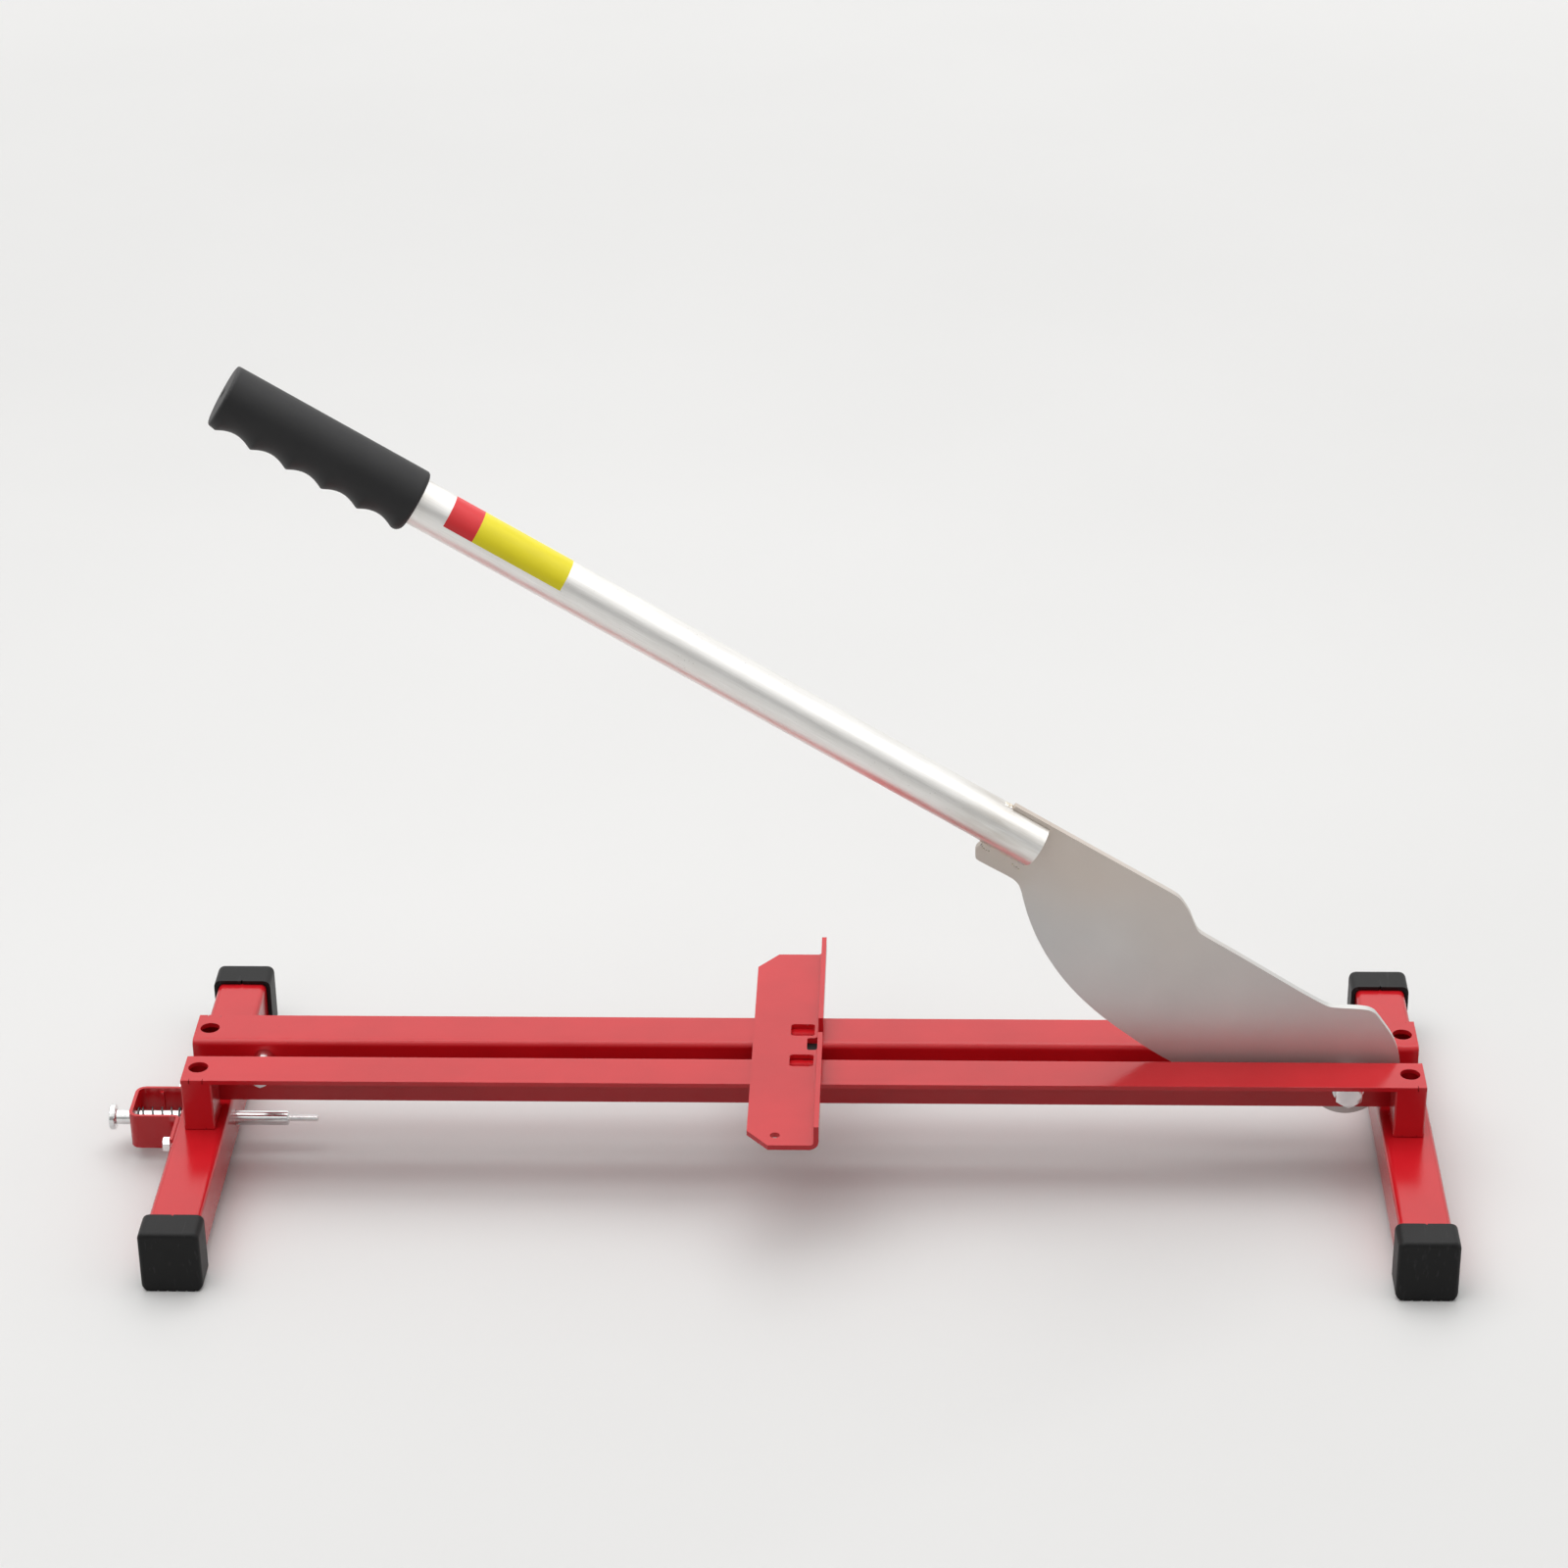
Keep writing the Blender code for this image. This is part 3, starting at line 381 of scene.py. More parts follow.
def make_weld_metal(name, tint):
    """Bare weld bead: bright metal under a tint of straw and blue heat colours."""
    weld = Finish(name, Metallic=1.0)
    place = weld.lever_place()
    lump = weld.noise(place, 700.0, 3.0, 0.6)
    heat = weld.noise(place, 210.0).ramp(0.25, 0.75)
    stops = [
        (0.0, (0.62, 0.61, 0.58)), (0.5, (0.66, 0.58, 0.44)),
        (0.72, (0.44, 0.40, 0.42)), (1.0, (0.6, 0.6, 0.6)),
    ]
    colour = weld.node("ShaderNodeValToRGB", {"Fac": heat}, stops=stops)["Color"]
    colour = weld.blend(tint, (0.74, 0.735, 0.72), colour)
    return weld.cover(colour, 0.22 + 0.3 * lump, lump, 0.00010, 0.6)


def make_zinc():
    """Bright zinc plate on bolts and pin: pale blue-grey with fine turning marks."""
    zinc = Finish("zinc_plate", Metallic=1.0)
    place = zinc.place()
    haze = zinc.noise(place, 160.0, 3.0, 0.6)
    marks = zinc.noise(place, 110.0, press=(24.0, 1.0, 1.0))
    pit = zinc.cells(place, 700.0) < 0.09
    colour = zinc.blend(haze.ramp(0.3, 0.7), (0.66, 0.67, 0.68), (0.84, 0.845, 0.84))
    colour = zinc.blend(pit * 0.3, colour, (0.30, 0.30, 0.29))
    return zinc.cover(colour, 0.10 + 0.16 * haze, marks + 0.4 * haze, 0.00002, 0.35)


def make_spring_wire():
    """Oiled spring wire: dark, with brighter drawn streaks."""
    wire = Finish("spring_wire", Metallic=1.0)
    streak = wire.noise(wire.place(), 900.0, 3.0, 0.6)
    colour = wire.blend(streak.ramp(0.35, 0.7), (0.055, 0.055, 0.058), (0.19, 0.19, 0.19))
    return wire.cover(colour, 0.26 + 0.2 * streak, streak, 0.00002, 0.4)


def make_label(name, light, dark):
    """Printed film: even colour, faint ripples and dust under a satin face."""
    film = Finish(name, IOR=1.46, Coat_Roughness=0.2)
    place = film.lever_place()
    ripple = film.noise(place, 55.0, 3.0, press=(1.0, 3.0, 3.0))
    dust = film.noise(place, 1100.0)
    colour = film.blend(ripple.ramp(0.3, 0.75), light, dark)
    gloss = 0.15 + 0.2 * ripple
    return film.cover(colour, 0.34 + 0.12 * dust, ripple + 0.15 * dust, 0.00006, 0.4, Coat_Weight=gloss)


red_coat = make_red_coat()
red_weld_coat = make_red_weld()
shoe_plastic = make_shoe_plastic()
grip_rubber = make_grip_rubber()
stop_rubber = make_stop_rubber()
blade_satin = make_blade_steel()
blade_ground = make_ground_steel()
tube_drawn = make_tube_metal()
weld_bare = make_weld_metal("weld_bare", 0.9)
weld_bright = make_weld_metal("weld_bright", 0.75)
zinc_plate = make_zinc()
spring_wire = make_spring_wire()
label_yellow = make_label("label_yellow", (0.980, 0.850, 0.014), (0.930, 0.800, 0.012))
label_red = make_label("label_red", (0.860, 0.034, 0.042), (0.780, 0.028, 0.035))


# Meshes
def link(name, data):
    item = bpy.data.objects.new(name, data)
    bpy.context.scene.collection.objects.link(item)
    return item


def baked(item, name):
    """The evaluated mesh of an object, which is then removed."""
    bpy.context.view_layer.update()
    graph = bpy.context.evaluated_depsgraph_get()
    mesh = bpy.data.meshes.new_from_object(item.evaluated_get(graph))
    mesh.name = name
    bpy.data.objects.remove(item)
    return mesh


def to_mesh(work, name):
    mesh = bpy.data.meshes.new(name)
    work.to_mesh(mesh)
    work.free()
    return mesh


def soften_shading(mesh, degrees):
    mesh.shade_smooth()
    mesh.set_sharp_from_angle(angle=math.radians(degrees))


def show(name, mesh, body, stands_for=(), smooth_angle=32.0):
    """A finished piece, riding on its body.

    Its wide faces stay flat in the shading, and their soft edges take the turn.
    """
    soften_shading(mesh, smooth_angle)
    item = link(name + "_shading", mesh)
    evener = item.modifiers.new("even", "WEIGHTED_NORMAL")
    evener.mode = "FACE_AREA"
    evener.weight = 50
    evener.keep_sharp = True
    item = link(name, baked(item, name))
    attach(item, body)
    if stands_for:
        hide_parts(*stands_for)
    return item


def node_copy(node):
    """The model's solid with its loose triangles joined into whole faces."""
    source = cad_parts[node].data
    work = bmesh.new()
    points = [work.verts.new(vertex.co) for vertex in source.vertices]
    for polygon in source.polygons:
        try:
            work.faces.new([points[index] for index in polygon.vertices])
        except ValueError:
            continue
    bmesh.ops.remove_doubles(work, verts=work.verts, dist=1e-6)
    bmesh.ops.dissolve_limit(work, angle_limit=math.radians(0.6), verts=work.verts, edges=work.edges)
    return to_mesh(work, node)


def eased(mesh, name, width, finish, segments=2, angle=28.0, cutters=(), ticks=()):
    """Softens every sharp edge: cutters are cut before that, and the narrow ticks after it."""
    item = link(name + "_raw", mesh)
    helpers = []

    def cut_away(shapes):
        for shape in shapes:
            helpers.append(link("cutter", shape))
            cut = item.modifiers.new("cut", "BOOLEAN")
            cut.operation = "DIFFERENCE"
            cut.solver = "EXACT"
            cut.object = helpers[-1]

    cut_away(cutters)
    bevel = item.modifiers.new("edges", "BEVEL")
    bevel.width = width
    bevel.segments = segments
    bevel.limit_method = "ANGLE"
    bevel.angle_limit = math.radians(angle)
    bevel.use_clamp_overlap = True
    cut_away(ticks)
    result = baked(item, name)
    for helper in helpers:
        bpy.data.objects.remove(helper)
    result.materials.clear()
    result.materials.append(finish)
    return result


def dress(node, body, width, finish, ticks=()):
    """The model's own shape with soft edges, in place of the bare solid."""
    name = node + "_dressed"
    show(name, eased(node_copy(node), name, width, finish, ticks=ticks), body, [node])


def box_mesh(low, high):
    work = bmesh.new()
    bmesh.ops.create_cube(work, size=1.0)
    middle = (Vector(low) + Vector(high)) / 2
    size = Vector(high) - Vector(low)
    for vertex in work.verts:
        vertex.co = Vector(vertex.co[k] * size[k] + middle[k] for k in range(3))
    return to_mesh(work, "box")


def skin(work, rings):
    """Faces between closed rings of points; the ends are left open."""
    loops = [[work.verts.new(point) for point in ring] for ring in rings]
    for first, second in zip(loops, loops[1:]):
        count = len(first)
        for index in range(count):
            following = (index + 1) % count
            work.faces.new((first[index], first[following], second[following], second[index]))
    return loops


def solid(name, rings):
    """A skin between rings of points with a face on both ends."""
    work = bmesh.new()
    loops = skin(work, rings)
    work.faces.new(list(reversed(loops[0])))
    work.faces.new(loops[-1])
    bmesh.ops.recalc_face_normals(work, faces=work.faces)
    return to_mesh(work, name)


def bar(name, section, start, end):
    """A solid along X with a section of (y, z) points."""
    return solid(name, [[Vector((x, y, z)) for y, z in section] for x in (start, end)])


def turned(name, profile, axis, place, finish, sides=64):
    """A lathe form. The profile is (distance, radius) pairs; radius 0 closes an end."""
    work = bmesh.new()
    rings = []
    for distance, radius in profile:
        ring = []
        for index in range(sides):
            angle = math.tau * index / sides
            a, b = radius * math.cos(angle), radius * math.sin(angle)
            ring.append(Vector((distance, a, b) if axis == "X" else (a, distance, b)) + place)
        rings.append(ring)
    skin(work, rings + ([rings[0]] if profile[0][1] > 0 else []))
    bmesh.ops.remove_doubles(work, verts=work.verts, dist=1e-7)
    bmesh.ops.recalc_face_normals(work, faces=work.faces)
    mesh = to_mesh(work, name)
    mesh.materials.append(finish)
    return mesh


def joined(name, meshes):
    """Several meshes as one, keeping each one's material."""
    finishes = []
    work = bmesh.new()
    for mesh in meshes:
        start = len(work.faces)
        work.from_mesh(mesh)
        work.faces.ensure_lookup_table()
        own = list(mesh.materials)
        finishes += [finish for finish in own if finish not in finishes]
        for face in work.faces[start:]:
            face.material_index = finishes.index(own[min(face.material_index, len(own) - 1)])
    result = to_mesh(work, name)
    for finish in finishes:
        result.materials.append(finish)
    return result


def outward(mesh):
    """Turns a closed mesh's faces outwards."""
    work = bmesh.new()
    work.from_mesh(mesh)
    bmesh.ops.recalc_face_normals(work, faces=work.faces)
    if work.calc_volume(signed=True) < 0.0:
        bmesh.ops.reverse_faces(work, faces=work.faces)
    work.to_mesh(mesh)
    work.free()
    return mesh


# Repeated forms as node trees
class Recipe(Sheet):
    """A Geometry Nodes tree with named inputs that bakes to a plain mesh."""

    def __init__(self, name, **numbers):
        super().__init__(bpy.data.node_groups.new(name, "GeometryNodeTree"))
        self.keys = {}
        face = self.tree.interface
        face.new_socket("Geometry", in_out="INPUT", socket_type="NodeSocketGeometry")
        for label, number in numbers.items():
            kind = "NodeSocketInt" if isinstance(number, int) else "NodeSocketFloat"
            item = face.new_socket(label, in_out="INPUT", socket_type=kind)
            item.default_value = number
            self.keys[label] = item.identifier
        item = face.new_socket("Finish", in_out="INPUT", socket_type="NodeSocketMaterial")
        self.keys["Finish"] = item.identifier
        face.new_socket("Geometry", in_out="OUTPUT", socket_type="NodeSocketGeometry")
        self.inputs = self.node("NodeGroupInput")

    def __getitem__(self, label):
        return self.inputs[label]

    def step(self, kind, sockets=(), **settings):
        """The first output of a new geometry node."""
        return self.node("GeometryNode" + kind, sockets, **settings)[0]

    def close(self, geometry):
        """Ends the tree: real geometry, smooth faces, one material."""
        real = self.step("RealizeInstances", {"Geometry": geometry})
        smooth = self.step("SetShadeSmooth", {"Geometry": real})
        painted = self.step("SetMaterial", {"Geometry": smooth, "Material": self["Finish"]})
        self.node("NodeGroupOutput", {"Geometry": painted})
        return self

    def bake(self, name, finish, path=(), **values):
        """A mesh from the tree, with a polyline as its start where one is given."""
        start = bpy.data.meshes.new(name)
        start.from_pydata(path, [(k, k + 1) for k in range(len(path) - 1)], [])
        item = link(name + "_recipe", start)
        modifier = item.modifiers.new("recipe", "NODES")
        modifier.node_group = self.tree
        modifier[self.keys["Finish"]] = finish
        for label, value in values.items():
            modifier[self.keys[label]] = value
        mesh = baked(item, name)
        if not mesh.materials:
            mesh.materials.append(finish)
        return mesh


def make_coil_recipe():
    """A round wire wound along X, with closer turns at both ends."""
    coil = Recipe(
        "coil", Turns=6.0, Radius=0.0049, Wire=0.0004, End_Pitch=0.0013, Open_Pitch=0.004,
        Steps=36, Sides=12,
    )
    straight = coil.step("CurvePrimitiveLine", {"Start": (0.0, 0.0, 0.0), "End": (1.0, 0.0, 0.0)})
    dense = coil.step("ResampleCurve", {"Curve": straight, "Count": coil["Turns"] * coil["Steps"] + 1.0})
    turn = coil.step("SplineParameter") * coil["Turns"]
    last = coil["Turns"] - 1.0
    middle = (turn - 1.0).at_least(0.0).at_most(last - 1.0)
    close = turn.at_most(1.0) + (turn - last).at_least(0.0)
    angle = turn * math.tau
    place = coil.vector(
        close * coil["End_Pitch"] + middle * coil["Open_Pitch"],
        angle.maths("COSINE") * coil["Radius"],
        angle.maths("SINE") * coil["Radius"],
    )
    wound = coil.step("SetPosition", {"Geometry": dense, "Position": place})
    sockets = {"Resolution": coil["Sides"], "Radius": coil["Wire"]}
    section = coil.step("CurvePrimitiveCircle", sockets, mode="RADIUS")
    sockets = {"Curve": wound, "Profile Curve": section, "Fill Caps": True}
    return coil.close(coil.step("CurveToMesh", sockets))


def make_bead_recipe():
    """A weld bead: overlapping ripples along a polyline, no two the same size."""
    bead = Recipe("weld_bead", Radius=0.0013, Step=0.0005, Spread=0.16, Seed=1)
    line = bead.step("MeshToCurve", {"Mesh": bead["Geometry"]})
    dots = bead.step("ResampleCurve", {"Curve": line, "Length": bead["Step"]}, mode="LENGTH")
    ball = bead.step("MeshUVSphere", {"Segments": 12, "Rings": 8, "Radius": bead["Radius"]})
    tangent = bead.step("InputTangent")
    turn = bead.node("FunctionNodeAlignEulerToVector", {"Vector": tangent}, axis="Z")["Rotation"]
    least, most = 1.0 - bead["Spread"], 1.0 + 0.3 * bead["Spread"]
    sockets = {"Min_001": least, "Max_001": most, "Seed": bead["Seed"]}
    size = bead.node("FunctionNodeRandomValue", sockets, data_type="FLOAT")["Value_001"]
    flat_size = bead.vector(size, size, size * 0.8)
    sockets = {"Points": dots, "Instance": ball, "Rotation": turn, "Scale": flat_size}
    return bead.close(bead.step("InstanceOnPoints", sockets))


def make_groove_recipe():
    """Round bars side by side along X, to cut the treads of a sole."""
    bars = Recipe("tread_bars", Count=6, Pitch=0.005, Radius=0.0006, Length=0.02)
    sockets = {"Vertices": 16, "Radius": bars["Radius"], "Depth": bars["Length"]}
    upright = bars.step("MeshCylinder", sockets)
    laid = bars.step("Transform", {"Geometry": upright, "Rotation": (math.pi / 2, 0.0, 0.0)})
    start = bars.vector((bars["Count"] - 1.0) * bars["Pitch"] * -0.5, 0.0, 0.0)
    offset = bars.vector(bars["Pitch"], 0.0, 0.0)
    sockets = {"Count": bars["Count"], "Start Location": start, "Offset": offset}
    spots = bars.step("MeshLine", sockets, mode="OFFSET")
    return bars.close(bars.step("InstanceOnPoints", {"Points": spots, "Instance": laid}))


def make_grip_recipe():
    """The grip as one rule: a bore, a rolled lip, five finger hollows below, a closed end with a vent.

    The row share runs from the bore's bottom over the lip and the body to the vent's bottom.
    """
    grip = Recipe(
        "finger_grip", Length=grip_length, Wall=grip_end_wall, Bore=tube_radius + seat_gap, Top=0.0148,
        Cusp=0.0166, Hollow=0.0028, Pitch=0.0187, Hollows=5.0, Lip=0.0042, Lip_Round=0.0022, Flare=0.0034,
        Land=0.30, Round=0.0012, Vent=0.0023, Vent_Depth=0.0018, Dome=0.0003, Slant=0.035,
        Rows=340, Columns=96,
    )

    def round_drop(depth, size):
        """How far a rounded edge falls back at a depth into it."""
        part = depth.at_least(0.0) / size
        return (1.0 - (1.0 - part * part).at_least(0.0).maths("SQRT")) * size

    sockets = {"Size X": 1.0, "Size Y": 1.0, "Vertices X": grip["Rows"], "Vertices Y": grip["Columns"]}
    grid = grip.step("MeshGrid", sockets)
    x, y, _ = grip.parts(grip.step("InputPosition"))
    row = x + 0.5
    angle = (y + 0.5) * math.tau
    length = grip["Length"]
    body = row.ramp(0.10, 0.86) * length
    inside = (1.0 - row.ramp(0.0, 0.06)) * (length - grip["Wall"])
    along = body + inside - row.ramp(0.92, 0.95) * grip["Vent_Depth"]
    # Finger hollows after the thick lip, then the land that falls away to the round of the end
    phase = (body - grip["Lip"]) / grip["Pitch"]
    wave = (phase * math.pi).maths("SINE")
    scallop = ((wave * wave + 0.012) ** 0.42 - 0.156) / 0.849
    hollowed = (phase > 0.0) * (phase < grip["Hollows"])
    land = (phase - grip["Hollows"]).ramp(0.0, 0.225) * grip["Land"]
    flare = 1.0 - body.ramp(0.0, grip["Flare"], True)
    low = grip["Cusp"] - grip["Hollow"] * (scallop * hollowed + land + flare * 0.35)
    below = (-angle.maths("COSINE")).at_least(0.0)
    share = below * below * (3.0 - below * 2.0)
    outer = grip["Top"] + (low - grip["Top"]) * share
    outer = outer - round_drop(body - (length - grip["Round"]), grip["Round"])
    outer = outer - round_drop(grip["Lip_Round"] - body, grip["Lip_Round"])
    past_bore = row.ramp(0.06, 0.10)
    radius = grip["Bore"] + (outer - grip["Bore"]) * past_bore
    # The end face is drawn in to the vent over a low dome, and leans a little to the front
    drawn = row.ramp(0.86, 0.92)
    radius = (radius + (grip["Vent"] - radius) * drawn) * (1.0 - row.ramp(0.95, 1.0))
    dome = (1.0 - (1.0 - drawn) * (1.0 - drawn)) * grip["Dome"]
    near_end = body.ramp(length - 0.0070, length - 0.0002, True)
    aside = radius * angle.maths("SINE")
    lean = aside * grip["Slant"] * near_end * past_bore
    place = grip.vector(-(along + dome + lean), aside, radius * angle.maths("COSINE"))
    shaped = grip.step("SetPosition", {"Geometry": grid, "Position": place})
    return grip.close(grip.step("MergeByDistance", {"Geometry": shaped, "Distance": 0.000002}))


coil_recipe = make_coil_recipe()
bead_recipe = make_bead_recipe()
groove_recipe = make_groove_recipe()
grip_recipe = make_grip_recipe()


class Seams:
    """Weld beads that become one piece, each with a seed of its own."""

    def __init__(self, finish, seed):
        self.finish = finish
        self.seed = seed
        self.meshes = []

    def add(self, start, end, radius, step, spread):
        numbers = {"Radius": radius, "Step": step, "Spread": spread, "Seed": self.seed}
        self.meshes.append(bead_recipe.bake("bead", self.finish, [start, end], **numbers))
        self.seed += 1


# Bolts, nuts and threads
def hex_form(flats, low, high, chamfer, hole=0.0, collar=0.0, both=False):
    """A hexagon head or nut along Y from low to high, chamfered at its high end or at both."""
    sides = 72
    rim_share, collar_share, dish_share, dish_depth = 0.93, 0.94, 0.70, 0.00012
    inner = flats / 2
    corner = inner / math.cos(math.pi / 6)
    way = math.copysign(1.0, high - low)

    def ring(radius, depth, cut=0.0):
        """A round ring, or the hexagon's own where no radius is given, cut back at its corners."""
        points = []
        for index in range(sides):
            angle = index * math.tau / sides
            reach = inner / math.cos(angle % (math.pi / 3) - math.pi / 6)
            drop = max(0.0, reach - inner * 0.965) * chamfer * 0.6 / (corner - inner)
            size = reach if radius is None else radius
            y = depth - way * cut * drop
            points.append(Vector((size * math.sin(angle), y, size * math.cos(angle))))
        return points

    rim = inner * rim_share
    start = low + way * collar
    rings = [ring(hole, low)]
    if collar:
        rings += [ring(inner * collar_share, low), ring(inner * collar_share, start)]
    elif both:
        rings.append(ring(rim, low))
    rings += [ring(None, start, -1.0 if both else 0.0), ring(None, high, 1.0), ring(rim, high)]
    if hole:
        rings += [ring(hole * 1.12, high), ring(hole, high - way * hole * 0.12), rings[0]]
    else:
        dish = high - way * dish_depth
        rings += [ring(inner * dish_share, dish), ring(0.0, dish)]
    work = bmesh.new()
    skin(work, rings)
    bmesh.ops.remove_doubles(work, verts=work.verts, dist=1e-7)
    mesh = outward(to_mesh(work, "hexagon"))
    mesh.materials.append(zinc_plate)
    return mesh


def threaded_shank(radius, start, tip, thread_from, pitch):
    """A bolt shank along Y with a raised helical thread at its tip."""
    way = math.copysign(1.0, tip - start)
    ridge, runout, tip_chamfer, bare_run = 0.00028, 0.0002, 0.0005, 0.0012
    core = radius - ridge
    profile = [
        (start, 0.0), (start, radius), (thread_from, radius), (thread_from + way * runout, core),
        (tip - way * tip_chamfer, core), (tip, core - tip_chamfer), (tip, 0.0),
    ]
    shank = turned("shank", profile, "Y", Vector(), zinc_plate, 40)
    run = abs(tip - thread_from) - bare_run
    turns = max(2.0, round(run / pitch))
    numbers = {"End_Pitch": run / turns, "Open_Pitch": run / turns, "Steps": 28, "Sides": 4}
    helix = coil_recipe.bake("thread", zinc_plate, Turns=turns, Radius=core, Wire=ridge, **numbers)
    start_y = thread_from + way * tip_chamfer
    helix.transform(Matrix(((0, 1, 0, 0), (way, 0, 0, start_y), (0, 0, 1, 0), (0, 0, 0, 1))))
    return joined("shank", [shank, outward(helix)])


def bolt(node, place, flats, seat, head_height, radius, tip, thread_from, pitch):
    """Head, shank and thread in place of the model's bolt."""
    chamfer, collar = 0.0006, 0.0003
    head = hex_form(flats, seat, seat - head_height, chamfer, collar=collar)
    mesh = joined(node + "_threaded", [head, threaded_shank(radius, seat, tip, thread_from, pitch)])
    mesh.transform(place)
    show(node + "_threaded", mesh, "frame", [node])


def nut(node, place, flats, near, far, chamfer, hole):
    """A chamfered nut in place of the model's own."""
    mesh = hex_form(flats, near, far, chamfer, hole=hole, both=True)
    mesh.transform(place)
    show(node + "_dressed", mesh, "frame", [node])


def washer(name, axis, place, near, far, hole, outer, sides):
    """A flat ring along an axis with eased rims."""
    ease = 0.0002
    step = math.copysign(ease, far - near)
    profile = [
        (near, hole), (near, outer - ease), (near + step, outer),
        (far - step, outer), (far, outer - ease), (far, hole),
    ]
    return outward(turned(name, profile, axis, place, zinc_plate, sides))


# The red frame

# Where the folded tabs end along a riser: shares of its width, above and below
folded_tab_shares = {
    "left": ((0.28, 0.71), (0.71,)),
    "right": ((0.72,), (0.30, 0.745)),
}
tick_half, tick_overrun = 0.00018, 0.0010
rail_tick_height, rail_tick_depth = 0.0022, 0.0017
riser_tick_height, riser_tick_depth = 0.0012, 0.0007


def tab_ticks(side, end, on_rail):
    """Thin slots where a riser's tabs were folded in: above in the rail's edge, below in the riser."""
    low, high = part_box(side + "_" + end + "_riser")
    face, inward = (low.y, 1.0) if end == "front" else (high.y, -1.0)
    above, below = folded_tab_shares[side]
    bottom, top = rail_top - rail_tick_height, rail_top + tick_overrun
    spots = [(share, bottom, top, rail_tick_depth) for share in above]
    if not on_rail:
        bottom, top = low.z - tick_overrun, low.z + riser_tick_height
        spots += [(share, bottom, top, riser_tick_depth) for share in below]
    cutters = []
    for share, bottom, top, depth in spots:
        x = low.x + (high.x - low.x) * share
        near, far = sorted((face - inward * tick_overrun, face + inward * depth))
        cutters.append(box_mesh((x - tick_half, near, bottom), (x + tick_half, far, top)))
    return cutters


def build_riser(side, end):
    """A riser that runs up behind the rail's painted edge, so that no seam shows at the weld."""
    node = side + "_" + end + "_riser"
    low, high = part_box(node)
    face = low.y if end == "front" else high.y
    end_x = low.x if side == "left" else high.x
    margin, paint, below_top = 0.00005, 0.00008, 0.0007
    mesh = node_copy(node)
    for vertex in mesh.vertices:
        if vertex.co.z > high.z - margin:
            vertex.co.z = rail_top - below_top
        if abs(vertex.co.y - face) < margin:
            vertex.co.y += math.copysign(paint, face)
        if abs(vertex.co.x - end_x) < margin:
            vertex.co.x += paint if side == "right" else -paint
    name = node + "_dressed"
    mesh = eased(mesh, name, 0.0003, red_coat, ticks=tab_ticks(side, end, False))
    show(name, mesh, "frame", [node])


def build_fence():
    """The fence: slots narrower in front, notch set back, underside on the rails' paint."""
    mesh = node_copy("fence_plate")
    margin, plate_height, paint_gap = 0.00005, 0.0043, 0.00025
    for vertex in mesh.vertices:
        x, y, z = vertex.co
        in_slot = fence_high.x - fence_slot_room - margin < x < fence_slot_end + margin
        if in_slot and abs(abs(y) - fence_slot_middle) < fence_slot_reach + margin:
            back = math.copysign(fence_slot_middle, y) + fence_slot_reach
            vertex.co.y = back - (back - y) * fence_slot_share
        if abs(y) < notch_reach and x > fence_high.x - notch_depth:
            on_flange = z > fence_low.z + plate_height
            vertex.co.y += flange_notch_shift if y > 0.0 and on_flange else notch_shift
        if z < fence_low.z + margin:
            vertex.co.z -= paint_gap
    mesh = eased(mesh, "fence_plate_dressed", 0.0004, red_coat)
    show("fence_plate_dressed", mesh, "frame", ["fence_plate"])


def build_frame():
    """The painted pieces: feet, rails, fence, strap and risers."""
    for side in ("left", "right"):
        dress(side + "_foot_tube", "frame", 0.0003, red_coat)
    for end in ("front", "back"):
        ticks = tab_ticks("left", end, True) + tab_ticks("right", end, True)
        dress(end + "_rail", "frame", 0.0004, red_coat, ticks)
    build_fence()
    dress("latch_strap", "frame", 0.00035, red_coat)
    for side, end in corners:
        build_riser(side, end)


def build_frame_welds():
    """Painted fillets where the risers meet the rails and the feet, and fills in the fence's slots: welds
    under the paint, whose darker coat is partly painted shade.
    """
    length, end_inset, edge_inset, proud = 0.0132, 0.0010, 0.0005, 0.0003
    seams = Seams(red_weld_coat, 1)
    for side, end in corners:
        low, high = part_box(side + "_" + end + "_riser")
        y = high.y + proud if end == "front" else low.y - proud
        inner_x, way = (high.x, 1.0) if side == "left" else (low.x, -1.0)
        for z in (low.z + edge_inset, high.z - edge_inset):
            x = inner_x - way * end_inset
            seams.add((x - way * length, y, z), (x, y, z), 0.0013, 0.0005, 0.16)
    # Each slot's fill slopes down from its front: steps back from the front, and rises over the rail
    slope = [
        (0.0, -0.0003), (0.0, 0.0019), (0.0010, 0.0017), (0.0022, 0.0013),
        (0.0036, 0.0008), (0.0052, 0.0003), (0.0068, 0.0), (0.0068, -0.0003),
    ]
    for middle in (-fence_slot_middle, fence_slot_middle):
        back = middle + fence_slot_reach
        front = back - 2 * fence_slot_reach * fence_slot_share
        section = [(front + step, rail_top + rise) for step, rise in slope]
        # The fill is a weld under the paint, and its darker weld coat also stands in for the shade inside
        # the slot
        fill = bar("fill", section, fence_slot_start, fence_slot_end - 0.0002)
        fill.materials.append(red_weld_coat)
        seams.meshes.append(fill)
        for x, y, z in (
            (fence_slot_end - 0.0038, back + 0.0001, fence_low.z + 0.0020),
            (fence_slot_end - 0.0016, front + 0.0030, rail_top + 0.0010),
        ):
            seams.add((x, y, z), (x + 0.0003, y, z), 0.0006, 0.0003, 0.3)
    show("frame_welds", joined("frame_welds", seams.meshes), "frame", smooth_angle=60.0)


